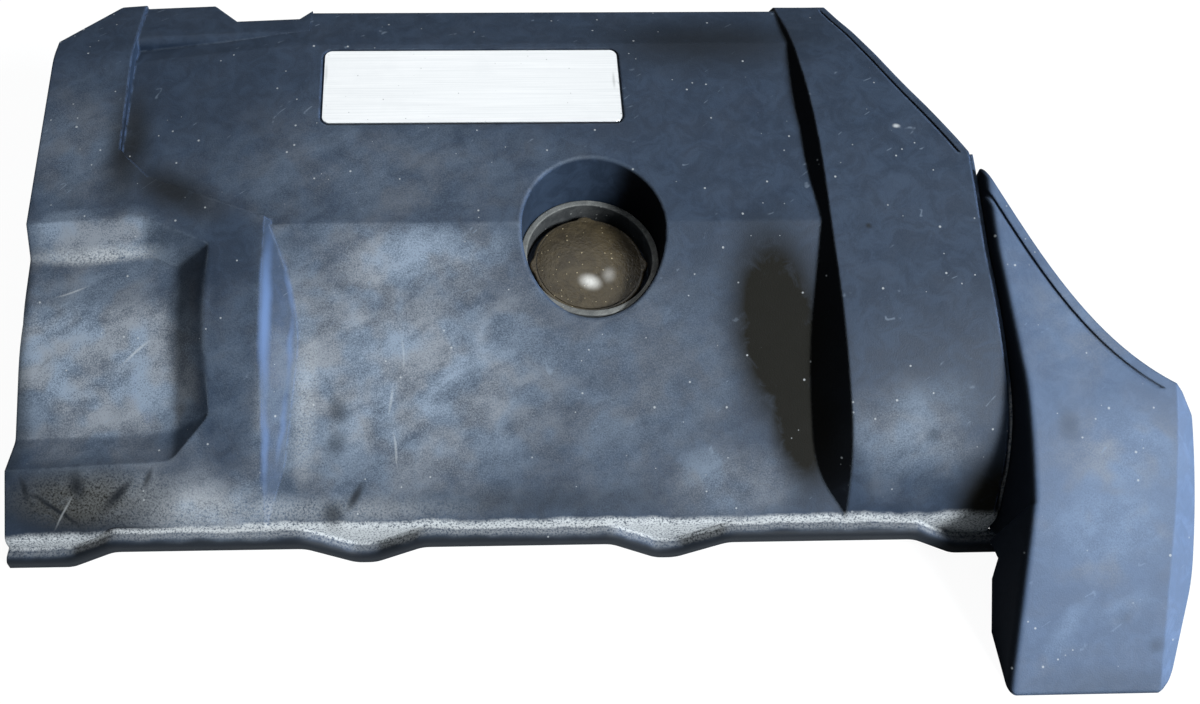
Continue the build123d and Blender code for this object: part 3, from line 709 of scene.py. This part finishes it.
    def worn_skin(self, graph: Graph, seen: Surface, skin: Feed, grime_and_shadow: Feed) -> Feed:
        """Wire the dirt and painted shadow, the painted highlights on lit edges, the painted shade on faces
        that turn left, the chalk, the stains and painted shade, and the specks.

        Args:
            graph: The material's nodes.
            seen: The readings at the point.
            skin: The colour under them.
            grime_and_shadow: How much dirt and painted shadow lies at the point.

        Returns:
            The colour.
        """
        # Dark dirt and painted shadow, in one colour.
        skin = graph.blend(grime_and_shadow, skin, self.grime_and_shadow_colour)
        # Painted highlights along lit edges that turn right, and along the marked lines.
        glow = graph.times(seen.edge, seen.rightward)
        glow = graph.larger(strongest(graph, seen.tight, self.glowing), glow)
        skin = graph.blend(glow, skin, self.glow)
        # Painted shade on faces that turn left, away from the key lamp.
        skin = graph.blend(graph.times(seen.leftward, self.shaded), skin, self.shade)
        if self.chalky:
            crumbs = graph.noise(seen.point, self.crumb_scale, detail=2.0, rough=0.7)
            crumbs = graph.ramp(crumbs, *self.crumb_step)
            crumbs = graph.without(crumbs, graph.times(grime_and_shadow, self.grime_and_shadow_on_chalk))
            chalk = graph.times(strongest(graph, seen.tight, self.chalky), crumbs)
            skin = graph.blend(chalk, skin, self.chalk)
        # Stains, and painted shade where a mark lies along a shaded edge.
        skin = graph.blend(strongest(graph, seen.tight, self.stain_and_shade_marks), skin, self.soot_and_shade)
        skin = graph.blend(strongest(graph, seen.tight, self.pale), skin, self.chalk)
        specks = SHELF.use(
            graph, Effect.SPECKS, Pitch=self.speck_scale, Share=self.speck_share, Size=self.speck_size,
        )
        return graph.blend(graph.times(graph.times(specks, seen.upward), self.speckled), skin, self.chalk)


@dataclass(frozen=True)
class BrushedPlate:
    """Satin aluminium with a fine brushed grain along X, small scuffs and dust specks."""

    name: str = "plate_brushed"
    metal: Colour = (0.905, 0.920, 0.925)
    dull: Colour = (0.790, 0.810, 0.820)
    soil: Colour = (0.210, 0.215, 0.210)
    roughness: float = 0.30
    brush_scale: Triple = (14.0, 2400.0, 2400.0)
    brush_depth: float = 0.00006
    cloud_scale: float = 34.0
    speck_scale: float = 420.0
    speck_share: float = 0.10
    speck_size: float = 0.20
    line_step: Span = (0.34, 0.74)
    cloud_step: Span = (0.52, 0.72)
    cloud_dulls: float = 0.30
    speck_dulls: float = 0.40
    line_roughens: float = 0.14
    speck_roughens: float = 0.3
    brush_strength: float = 0.10
    scuffs: tuple[Mark, ...] = ()

    def material(self) -> bpy.types.Material:
        """Build the material.

        Returns:
            The material.
        """
        material, graph, shader = start_material(self.name)
        point = graph.place()
        drawn = graph.vector("MULTIPLY", point, self.brush_scale)
        lines = graph.noise(drawn, 1.0, detail=4.0, rough=0.6)
        clouds = graph.ramp(graph.noise(point, self.cloud_scale, detail=4.0, rough=0.6), *self.cloud_step)
        specks = SHELF.use(
            graph, Effect.SPECKS, Pitch=self.speck_scale, Share=self.speck_share, Size=self.speck_size,
        )
        skin = graph.blend(graph.ramp(lines, *self.line_step), self.metal, self.dull)
        skin = graph.blend(graph.times(clouds, self.cloud_dulls), skin, self.dull)
        skin = graph.blend(graph.times(specks, self.speck_dulls), skin, self.soil)
        skin = graph.blend(strongest(graph, point, self.scuffs), skin, self.soil)
        rough = graph.plus(graph.times(lines, self.line_roughens), self.roughness)
        rough = graph.plus(rough, graph.times(specks, self.speck_roughens))
        relief = graph.bump(lines, self.brush_strength, self.brush_depth)
        graph.feed_all(shader, Base_Color=skin, Metallic=1.0, Roughness=rough, Normal=relief)
        return material


@dataclass(frozen=True)
class MattePiece:
    """A rubber, tape, foam or cap skin: a mottled colour, dust on top, grain, specks and painted highlights
    where marked.
    """

    name: str
    base: Colour
    faded: Colour
    dust: Colour = (0.300, 0.300, 0.280)
    film: float = 0.10
    roughness: float = 0.65
    gloss: float = 0.30
    grain: float = 900.0
    depth: float = 0.0003
    specks: float = 0.06
    mottle_scale: float = 95.0
    film_scale: float = 120.0
    film_turn: float = 0.6
    speck_scale: float = 480.0
    rough_scale: float = 160.0
    rough_spread: float = 0.20
    mottle_step: Span = (0.36, 0.66)
    film_shows: float = 0.7
    film_roughens: float = 0.20
    speck_size: float = 0.24
    speck_shows: float = 0.8
    speck_height: float = 0.6
    grain_strength: float = 0.5
    faces_up: Span = (0.1, 0.7)
    bright: Colour = (0.620, 0.600, 0.560)
    glints: tuple[Mark, ...] = ()

    def material(self) -> bpy.types.Material:
        """Build the material.

        Returns:
            The material.
        """
        material, graph, shader = start_material(self.name)
        point = graph.place()
        up = graph.split("XYZ", graph.node("ShaderNodeNewGeometry").outputs["Normal"])[2]
        mottle = graph.noise(point, self.mottle_scale, detail=5.0, rough=0.66, bend=0.8)
        film = SHELF.use(graph, Effect.FILM, Cover=self.film, Mottle=self.film_scale, Turn=self.film_turn)
        film = graph.times(film, graph.ramp(up, *self.faces_up))
        specks = SHELF.use(
            graph, Effect.SPECKS, Pitch=self.speck_scale, Share=self.specks, Size=self.speck_size,
        )
        skin = graph.blend(graph.ramp(mottle, *self.mottle_step), self.base, self.faded)
        skin = graph.blend(graph.times(film, self.film_shows), skin, self.dust)
        skin = graph.blend(graph.times(specks, self.speck_shows), skin, self.dust)
        # Painted highlights, where the marks say.
        skin = graph.blend(strongest(graph, point, self.glints), skin, self.bright)
        uneven = graph.times(graph.noise(point, self.rough_scale, detail=4.0), self.rough_spread)
        rough = graph.plus(graph.times(film, self.film_roughens), self.roughness - self.rough_spread / 2)
        rough = graph.plus(rough, uneven, clamp=True)
        grain = SHELF.use(graph, Effect.GRAIN, Fineness=self.grain)
        height = graph.plus(grain, graph.times(specks, self.speck_height))
        relief = graph.bump(height, self.grain_strength, self.depth)
        graph.feed_all(shader, Base_Color=skin, Roughness=rough, Specular_IOR_Level=self.gloss, Normal=relief)
        return material


@dataclass(frozen=True)
class PlatedSteel:
    """Zinc-plated steel with dull spots and a fine grain."""

    name: str = "screw_zinc"
    metal: Colour = (0.560, 0.565, 0.550)
    dull: Colour = (0.300, 0.290, 0.260)
    roughness: float = 0.30
    spot_scale: float = 420.0
    grain_scale: float = 1800.0
    grain_depth: float = 0.00008
    grain_strength: float = 0.2
    spot_step: Span = (0.46, 0.70)
    spot_roughens: float = 0.3

    def material(self) -> bpy.types.Material:
        """Build the material.

        Returns:
            The material.
        """
        material, graph, shader = start_material(self.name)
        point = graph.place()
        spots = graph.ramp(graph.noise(point, self.spot_scale, detail=5.0, rough=0.7), *self.spot_step)
        skin = graph.blend(spots, self.metal, self.dull)
        rough = graph.plus(graph.times(spots, self.spot_roughens), self.roughness)
        grain = graph.noise(point, self.grain_scale, detail=3.0)
        relief = graph.bump(grain, self.grain_strength, self.grain_depth)
        graph.feed_all(shader, Base_Color=skin, Metallic=1.0, Roughness=rough, Normal=relief)
        return material


# Sub-assemblies


def dress_node(name: str, material: bpy.types.Material) -> None:
    """Give a CAD node its finish.

    Args:
        name: The node.
        material: The finish.
    """
    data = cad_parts[name].data
    data.materials.clear()
    data.materials.append(material)
    LOG.info("dressed %s with %s", name, material.name)


@dataclass
class MainCover:
    """The large moulding, with the marks that its roof, pocket, banks and front carry."""

    dusty: tuple[Mark, ...] = (
        Mark((-0.293, -0.022, 0.090), (0.105, 0.100, 0.090), 0.90, soft=0.8),
        Mark((-0.294, -0.070, 0.054), (0.085, 0.030, 0.040), 0.64),
        Mark((-0.125, -0.040, 0.082), (0.180, 0.130, 0.110), 0.68),
        Mark((0.005, -0.050, 0.075), (0.150, 0.120, 0.100), 0.24),
        Mark((-0.225, -0.104, 0.041), (0.070, 0.040, 0.044), 0.60),
        Mark((-0.315, 0.085, 0.143), (0.060, 0.090, 0.060), 0.50),
        Mark((-0.130, 0.060, 0.145), (0.190, 0.080, 0.060), 0.44),
        Mark((-0.295, 0.034, 0.125), (0.066, 0.020, 0.030), 1.10),
        Mark((-0.110, 0.012, 0.122), (0.100, 0.034, 0.040), 0.72),
        Mark((0.080, -0.096, 0.043), (0.065, 0.036, 0.044), 0.34),
        Mark((0.188, -0.086, 0.074), (0.058, 0.044, 0.056), 0.40),
    )
    grime_and_shadow_marks: tuple[Mark, ...] = (
        Mark((-0.305, -0.102, 0.038), (0.080, 0.030, 0.040), 1.04),
        # Painted shadow cast by the right bank onto the facet beside it, over two marks.
        Mark((0.116, -0.022, 0.095), (0.042, 0.092, 0.092), 1.90, turn=8.0, soft=1.0),
        Mark((0.127, -0.068, 0.067), (0.028, 0.064, 0.064), 1.80, turn=12.0, soft=1.0),
        # Painted shadow cast by the wing onto the panel's front right corner.
        Mark((0.240, -0.112, 0.042), (0.036, 0.046, 0.055), 1.10, turn=-20.0),
        Mark((-0.240, -0.022, 0.102), (0.020, 0.066, 0.050), 0.30),
        # Painted shade along the bay's left and diagonal banks, with some dirt.
        Mark((-0.283, 0.090, 0.148), (0.020, 0.070, 0.036), 0.80),
        Mark((-0.250, 0.056, 0.140), (0.052, 0.022, 0.036), 0.80, turn=-32.0),
        # Darker along the rear of the deck.
        Mark((0.085, 0.160, 0.168), (0.110, 0.040, 0.044), 0.66),
        # Painted shade along the rounded left edge, which turns away from the key lamp.
        Mark((-0.346, -0.020, 0.080), (0.015, 0.160, 0.140), 0.70),
    )
    chalky: tuple[Mark, ...] = (
        Mark((-0.060, -0.116, 0.022), (1.0, 0.0034, 0.036), 1.40),
        Mark((-0.060, -0.1195, 0.022), (1.0, 0.004, 0.036), 0.40),
        Mark((-0.285, -0.100, 0.040), (0.080, 0.022, 0.030), 0.29),
        Mark((-0.190, -0.108, 0.032), (0.170, 0.011, 0.022), 0.34),
        Mark((0.2475, -0.085, 0.060), (0.003, 0.045, 0.060), 0.62, soft=0.45),
        Mark((-0.170, -0.060, 0.072), (0.010, 0.075, 0.060), 0.34, turn=-4.0),
        Mark((-0.235, -0.108, 0.036), (0.065, 0.020, 0.025), 0.40),
        Mark((-0.296, 0.0255, 0.114), (0.060, 0.0075, 0.014), 0.66),
    )
    stain_and_shade_marks: tuple[Mark, ...] = (
        # Painted shade along the lip's down-turned lower edge.
        Mark((-0.040, -0.1262, 0.012), (4.0, 0.006, 0.050), 0.92, soft=0.6),
        Mark((-0.030, -0.105, 0.039), (0.120, 0.012, 0.022), 0.36),
        Mark((-0.1503, -0.060, 0.069), (0.0095, 0.011, 0.020), 0.50, turn=8.0),
        Mark((-0.152, -0.076, 0.059), (0.0105, 0.011, 0.020), 0.52, turn=-10.0),
        Mark((-0.140, -0.102, 0.040), (0.004, 0.014, 0.020), 0.85, turn=-38.0),
        Mark((-0.154, -0.110, 0.035), (0.012, 0.010, 0.020), 0.75, turn=-30.0),
        Mark((0.170, 0.022, 0.139), (0.0026, 0.0026, 0.004), 0.90),
        Mark((0.200, -0.085, 0.072), (0.0075, 0.006, 0.010), 0.60),
        Mark((-0.318, -0.104, 0.036), (0.0018, 0.030, 0.030), 0.90, turn=62.0),
        Mark((-0.280, -0.099, 0.040), (0.0036, 0.018, 0.020), 0.90, turn=-58.0),
        Mark((-0.305, -0.094, 0.043), (0.0075, 0.011, 0.020), 0.85, turn=20.0),
        Mark((-0.336, -0.094, 0.040), (0.003, 0.009, 0.020), 0.80, turn=25.0),
        Mark((-0.262, -0.092, 0.046), (0.0024, 0.008, 0.020), 0.70, turn=-30.0),
        Mark((-0.322, -0.030, 0.075), (0.0016, 0.012, 0.020), 0.45, turn=-55.0),
    )
    pale: tuple[Mark, ...] = (
        Mark((-0.1112, -0.033, 0.090), (0.001, 0.013, 0.016), 0.22, turn=4.0),
        Mark((-0.1185, -0.056, 0.073), (0.0011, 0.011, 0.016), 0.30, turn=-6.0),
        Mark((-0.116, -0.079, 0.057), (0.0011, 0.012, 0.016), 0.32, turn=8.0),
        Mark((-0.270, -0.030, 0.090), (0.001, 0.016, 0.020), 0.40, turn=-58.0),
        Mark((-0.311, 0.004, 0.104), (0.0009, 0.014, 0.020), 0.34, turn=-74.0),
        Mark((-0.314, -0.106, 0.034), (0.0008, 0.014, 0.020), 0.30, turn=-44.0),
        Mark((0.195, 0.084, 0.163), (0.003, 0.002, 0.004), 0.75),
    )
    softer: tuple[Mark, ...] = (
        Mark((-0.280, -0.015, 0.100), (0.075, 0.080, 0.080), 0.005, soft=0.3),
        Mark((-0.186, -0.035, 0.095), (0.018, 0.090, 0.070), 0.002, soft=0.3),
    )
    # Painted highlights along the left crescent's lit edges.
    glowing: tuple[Mark, ...] = (
        Mark((-0.1916, -0.020, 0.110), (0.005, 0.066, 0.060), 0.95, turn=-1.5),
        Mark((-0.193, -0.080, 0.065), (0.0034, 0.038, 0.050), 0.60, turn=-1.0),
        Mark((-0.1785, -0.003, 0.113), (0.0024, 0.022, 0.040), 0.50, turn=10.0, soft=1.0),
        Mark((-0.178, -0.031, 0.095), (0.0024, 0.028, 0.040), 0.50, turn=-4.5, soft=1.0),
        Mark((-0.183, -0.069, 0.068), (0.0024, 0.028, 0.040), 0.50, turn=-10.7, soft=1.0),
    )
    wiped: tuple[Mark, ...] = (
        Mark((-0.214, -0.030, 0.105), (0.024, 0.100, 0.120), 0.62, soft=0.35),
    )
    # Where the painted shade on faces that turn left is lessened: the pocket's right bank.
    lifted: tuple[Mark, ...] = (
        Mark((-0.240, -0.020, 0.102), (0.030, 0.075, 0.070), 0.44, soft=0.4),
        Mark((-0.2385, -0.074, 0.064), (0.022, 0.022, 0.030), 0.80, soft=0.6),
    )
    # Where the painted sheen is left off: the inner wall of the filler well.
    sunken: tuple[Mark, ...] = (
        Mark((0.0035, 0.031, 0.100), (0.052, 0.052, 0.200), 0.95, soft=0.1),
    )

    def dress(self) -> None:
        """Dress the moulding, with its marks passed on by their kind."""
        finish = DustyPlastic("cover_grained", (0.015, 0.025, 0.044), (0.023, 0.037, 0.063), **vars(self))
        dress_node("main_cover", finish.material())


@dataclass
class SideWing:
    """The wing beside the main moulding, and the screws that hold it."""

    dusty: tuple[Mark, ...] = (
        Mark((0.285, -0.030, 0.100), (0.040, 0.050, 0.050), 0.42),
        Mark((0.300, -0.105, 0.080), (0.055, 0.040, 0.050), 0.34),
        Mark((0.290, -0.140, 0.060), (0.055, 0.035, 0.050), 0.40),
        Mark((0.266, -0.186, 0.020), (0.010, 0.034, 0.030), 0.28, turn=-46.0),
        Mark((0.300, -0.176, 0.030), (0.009, 0.036, 0.030), 0.22, turn=-76.0),
    )
    stain_and_shade_marks: tuple[Mark, ...] = (
        Mark((0.300, -0.178, 0.024), (0.009, 0.007, 0.010), 0.30),
        Mark((0.272, -0.090, 0.090), (0.010, 0.014, 0.020), 0.30),
        Mark((0.318, -0.192, 0.016), (0.008, 0.006, 0.010), 0.34),
        Mark((0.290, -0.212, 0.006), (0.075, 0.016, 0.024), 0.30),
    )

    def dress(self) -> None:
        """Dress the wing, with its marks passed on by their kind, and its screws."""
        # The wing's base and sheen are lighter and bluer than the main moulding's; this paints a reflection
        # of bluish light on the wing.
        finish = DustyPlastic(
            "wing_grained", (0.054, 0.083, 0.142), (0.068, 0.102, 0.170), dust=(0.178, 0.238, 0.335),
            sheen=(0.108, 0.166, 0.292), film=0.08, scratched=0.28, **vars(self),
        )
        dress_node("side_wing", finish.material())
        dress_node("wing_screws", PlatedSteel().material())


@dataclass
class BadgePlace:
    """The bare plate in its recess, on its tape."""

    scuffs: tuple[Mark, ...] = (
        Mark((0.0235, 0.128, 0.163), (0.0014, 0.009, 0.010), 0.35),
        Mark((-0.1605, 0.135, 0.163), (0.0014, 0.012, 0.010), 0.25),
    )

    def dress(self) -> None:
        """Dress the plate and its tape."""
        dress_node("badge_plate", BrushedPlate(scuffs=self.scuffs).material())
        tape = MattePiece("tape_black", (0.012, 0.012, 0.013), (0.020, 0.020, 0.021), film=0.0)
        dress_node("badge_tape", tape.material())


@dataclass
class FillerWell:
    """The seal ring and the cap at the foot of the well, with painted highlights on the cap."""

    # Painted highlights on the cap's dome.
    glints: tuple[Mark, ...] = (
        Mark((0.004, 0.012, 0.101), (0.0095, 0.007, 0.010), 0.95, turn=-20.0, soft=1.0),
        Mark((0.016, 0.017, 0.101), (0.006, 0.008, 0.010), 0.30, turn=-20.0, soft=1.0),
    )

    def dress(self) -> None:
        """Dress the seal and the cap."""
        seal = MattePiece("seal_dusty", (0.030, 0.032, 0.033), (0.060, 0.062, 0.062), film=0.55, specks=0.16)
        cap = MattePiece(
            "cap_brown", (0.026, 0.018, 0.008), (0.050, 0.036, 0.017), dust=(0.44, 0.36, 0.22),
            film=0.05, roughness=0.40, gloss=0.60, grain=520.0, depth=0.0008, specks=0.26, glints=self.glints,
        )
        dress_node("filler_seal", seal.material())
        dress_node("filler_cap", cap.material())


@dataclass
class Grommets:
    """The four rubber grommets in the feet of the posts."""

    ends: tuple[str, ...] = ("front", "rear")
    sides: tuple[str, ...] = ("left", "right")

    def dress(self) -> None:
        """Dress the grommets."""
        finish = MattePiece("grommet_rubber", (0.016, 0.016, 0.017), (0.030, 0.030, 0.031), film=0.10)
        rubber = finish.material()
        for end in self.ends:
            for side in self.sides:
                dress_node(f"grommet_{end}_{side}", rubber)


@dataclass
class FoamPad:
    """A die-cut absorber pad under the roof, with softened, slightly swollen sides."""

    node: str
    voxel: float = 0.0042
    inset: float = 0.0012
    swell: float = 0.0010
    merge: float = 0.00002
    pressure: float = 2.0
    steps: int = 8
    smoothing: float = 0.5
    smoothings: int = 3
    fill: float = 0.6

    def build(self) -> bpy.types.Object:
        """Model the pad from its CAD solid.

        Returns:
            The finished pad.
        """
        bpy.ops.object.select_all(action="DESELECT")
        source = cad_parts[self.node]
        pad = bpy.data.objects.new("soft_" + self.node, source.data.copy())
        bpy.context.scene.collection.objects.link(pad)
        bpy.context.view_layer.objects.active = pad
        pad.select_set(True)
        bpy.ops.object.mode_set(mode="EDIT")
        bpy.ops.mesh.select_all(action="SELECT")
        bpy.ops.mesh.remove_doubles(threshold=self.merge)
        bpy.ops.object.mode_set(mode="OBJECT")
        self.modify(pad, "VOXELS", "REMESH", mode="VOXEL", voxel_size=self.voxel)
        self.modify(pad, "INSET", "DISPLACE", strength=-self.inset, mid_level=0.0)
        rest = [vertex.co.copy() for vertex in pad.data.vertices]
        self.puff(pad, rest)
        self.modify(pad, "SOFTEN", "SMOOTH", factor=self.smoothing, iterations=self.smoothings)
        self.modify(pad, "ROUND", "SUBSURF", levels=1, render_levels=1)
        bpy.ops.object.shade_smooth()
        return pad

    def modify(self, pad: bpy.types.Object, name: str, kind: str, **settings: object) -> None:
        """Add a modifier to the pad and apply it.

        Args:
            pad: The pad.
            name: The modifier's name.
            kind: The modifier's type.
            settings: Properties to set on it.
        """
        modifier = pad.modifiers.new(name, kind)
        for key, value in settings.items():
            setattr(modifier, key, value)
        bpy.ops.object.modifier_apply(modifier=modifier.name)

    def puff(self, pad: bpy.types.Object, rest: list[Vector]) -> None:
        """Swell the pad a little by cloth pressure, with a cap on each point's way.

        Args:
            pad: The pad.
            rest: Where its points start.
        """
        scene = bpy.context.scene
        cloth = pad.modifiers.new("PUFF", "CLOTH")
        cloth.settings.use_pressure = True
        cloth.settings.uniform_pressure_force = self.pressure
        cloth.settings.effector_weights.gravity = 0.0
        for step in range(self.steps):
            scene.frame_set(step + 1)
        bpy.ops.object.modifier_apply(modifier=cloth.name)
        scene.frame_set(1)
        for vertex, start in zip(pad.data.vertices, rest):
            way = vertex.co - start
            if way.length > self.swell:
                vertex.co = start + way.normalized() * self.swell

    def dress(self, material: bpy.types.Material) -> None:
        """Build the pad and put it in its node's place.

        Args:
            material: The foam's finish.
        """
        pad = self.build()
        pad.data.materials.clear()
        pad.data.materials.append(material)
        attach(pad, "root")
        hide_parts(self.node)
        LOG.info("built %s with %d points", pad.name, len(pad.data.vertices))


# Floor, light and camera


@dataclass
class Studio:
    """The pale floor, the lamps and the world."""

    floor_size: float = 9.0
    floor_colour: Colour = (0.62, 0.63, 0.64)
    plain_share: float = 0.86
    plain_strength: float = 1.1
    white: Colour = (1.0, 1.0, 1.0)
    fill: float = 0.10
    fill_colour: Colour = (0.76, 0.90, 1.0)
    aim: Triple = (0.0, -0.02, 0.08)
    key_place: Triple = (2.20, -1.90, 2.10)
    key_power: float = 225.0
    key_size: float = 0.95
    key_colour: Colour = (0.90, 0.955, 1.0)
    top_place: Triple = (-0.10, 0.95, 2.10)
    top_power: float = 17.0
    top_size: float = 2.2
    top_colour: Colour = (0.98, 0.99, 1.0)

    def build(self) -> None:
        """Make the floor, the lamps and the world."""
        self.floor()
        self.lamp("key_lamp", self.key_place, self.key_power, self.key_size, self.key_colour)
        self.lamp("top_lamp", self.top_place, self.top_power, self.top_size, self.top_colour)
        self.world()

    def floor(self) -> None:
        """Make the floor that the cover lies on."""
        bpy.ops.object.select_all(action="DESELECT")
        bpy.ops.mesh.primitive_plane_add(size=self.floor_size, location=(0.0, 0.0, 0.0))
        plane = bpy.context.active_object
        plane.name = "floor"
        material = bpy.data.materials.new("floor_pale")
        material.use_nodes = True
        material.node_tree.nodes.clear()
        graph = Graph(material.node_tree)
        matte = graph.feed_all(graph.node("ShaderNodeBsdfDiffuse"), Color=self.floor_colour)
        plain = graph.node("ShaderNodeEmission")
        graph.feed_all(plain, Color=self.white, Strength=self.plain_strength)
        seen = graph.node("ShaderNodeLightPath").outputs["Is Camera Ray"]
        self.mix(graph, "Material", graph.times(seen, self.plain_share), matte, plain)
        plane.data.materials.append(material)

    def lamp(self, name: str, place: Triple, power: float, size: float, colour: Colour) -> None:
        """Add one soft lamp that points at the cover.

        Args:
            name: The lamp's name.
            place: Where it stands, in metres.
            power: Its power in watts.
            size: The side of its square face.
            colour: Its colour.
        """
        data = bpy.data.lights.new(name, "AREA")
        data.energy = power
        data.size = size
        data.color = colour
        lamp = bpy.data.objects.new(name, data)
        lamp.location = place
        aim = Vector(self.aim) - Vector(place)
        lamp.rotation_euler = aim.to_track_quat("-Z", "Y").to_euler()
        bpy.context.scene.collection.objects.link(lamp)

    def world(self) -> None:
        """Make the world white to the eye and dim to the cover."""
        world = bpy.data.worlds.new("studio")
        bpy.context.scene.world = world
        world.use_nodes = True
        world.node_tree.nodes.clear()
        graph = Graph(world.node_tree)
        dim = graph.node("ShaderNodeBackground")
        graph.feed_all(dim, Color=self.fill_colour, Strength=self.fill)
        white = graph.feed_all(graph.node("ShaderNodeBackground"), Color=self.white)
        seen = graph.node("ShaderNodeLightPath").outputs["Is Camera Ray"]
        self.mix(graph, "World", seen, dim, white)

    def mix(self, graph: Graph, end: str, share: Feed, first: bpy.types.Node, second: bpy.types.Node) -> None:
        """Mix two shaders into a tree's output.

        Args:
            graph: The tree's nodes.
            end: The kind of output, Material or World.
            share: How much of the second shader shows.
            first: The first shader.
            second: The second shader.
        """
        both = graph.node("ShaderNodeMixShader")
        for socket, part in zip(both.inputs, (share, first.outputs[0], second.outputs[0])):
            graph.feed(socket, part)
        graph.feed(graph.node("ShaderNodeOutput" + end).inputs["Surface"], both.outputs[0])


@dataclass(frozen=True)
class Viewpoint:
    """Where the photograph was taken from, and how it was framed."""

    place: Triple = (-0.08217, -0.42675, 0.62883)
    tilt: float = 38.75
    yaw: float = -2.356
    roll: float = 1.24
    focal_pixels: float = 1111.523
    centre_pixels: tuple[float, float] = (479.766, 302.352)
    image_pixels: tuple[int, int] = (1200, 704)
    sensor: float = 36.0

    def build(self) -> None:
        """Make the camera and set it as the scene's."""
        wide, high = self.image_pixels
        data = bpy.data.cameras.new("view")
        data.sensor_fit = "HORIZONTAL"
        data.sensor_width = self.sensor
        data.lens = self.focal_pixels / wide * self.sensor
        data.shift_x = (wide / 2 - self.centre_pixels[0]) / wide
        data.shift_y = (self.centre_pixels[1] - high / 2) / wide
        camera = bpy.data.objects.new("view", data)
        turned = Matrix.Rotation(math.radians(self.yaw), 4, "Z")
        turned = turned @ Matrix.Rotation(math.radians(self.tilt), 4, "X")
        turned = turned @ Matrix.Rotation(math.radians(self.roll), 4, "Z")
        camera.matrix_world = Matrix.Translation(self.place) @ turned
        bpy.context.scene.collection.objects.link(camera)
        bpy.context.scene.camera = camera


@dataclass
class EngineCover:
    """The whole part: its mouldings, plate, well fittings, grommets and pads."""

    pads: tuple[str, ...] = ("foam_left", "foam_right")
    members: list[MainCover | SideWing | BadgePlace | FillerWell | Grommets] = field(
        default_factory=lambda: [MainCover(), SideWing(), BadgePlace(), FillerWell(), Grommets()]
    )

    def build(self) -> None:
        """Dress every member and build the pads."""
        for member in self.members:
            member.dress()
        foam = MattePiece(
            "pad_charcoal", (0.022, 0.022, 0.023), (0.045, 0.045, 0.046), film=0.0, roughness=0.9,
            gloss=0.1, grain=620.0, depth=0.0009, specks=0.02,
        ).material()
        for node in self.pads:
            FoamPad(node).dress(foam)


def main() -> None:
    """Build the part, the studio and the camera."""
    logging.basicConfig(level=logging.INFO, format="%(name)s: %(message)s")
    bpy.context.scene.view_settings.view_transform = "Standard"
    EngineCover().build()
    Studio().build()
    Viewpoint().build()


if __name__ == "__main__":
    main()
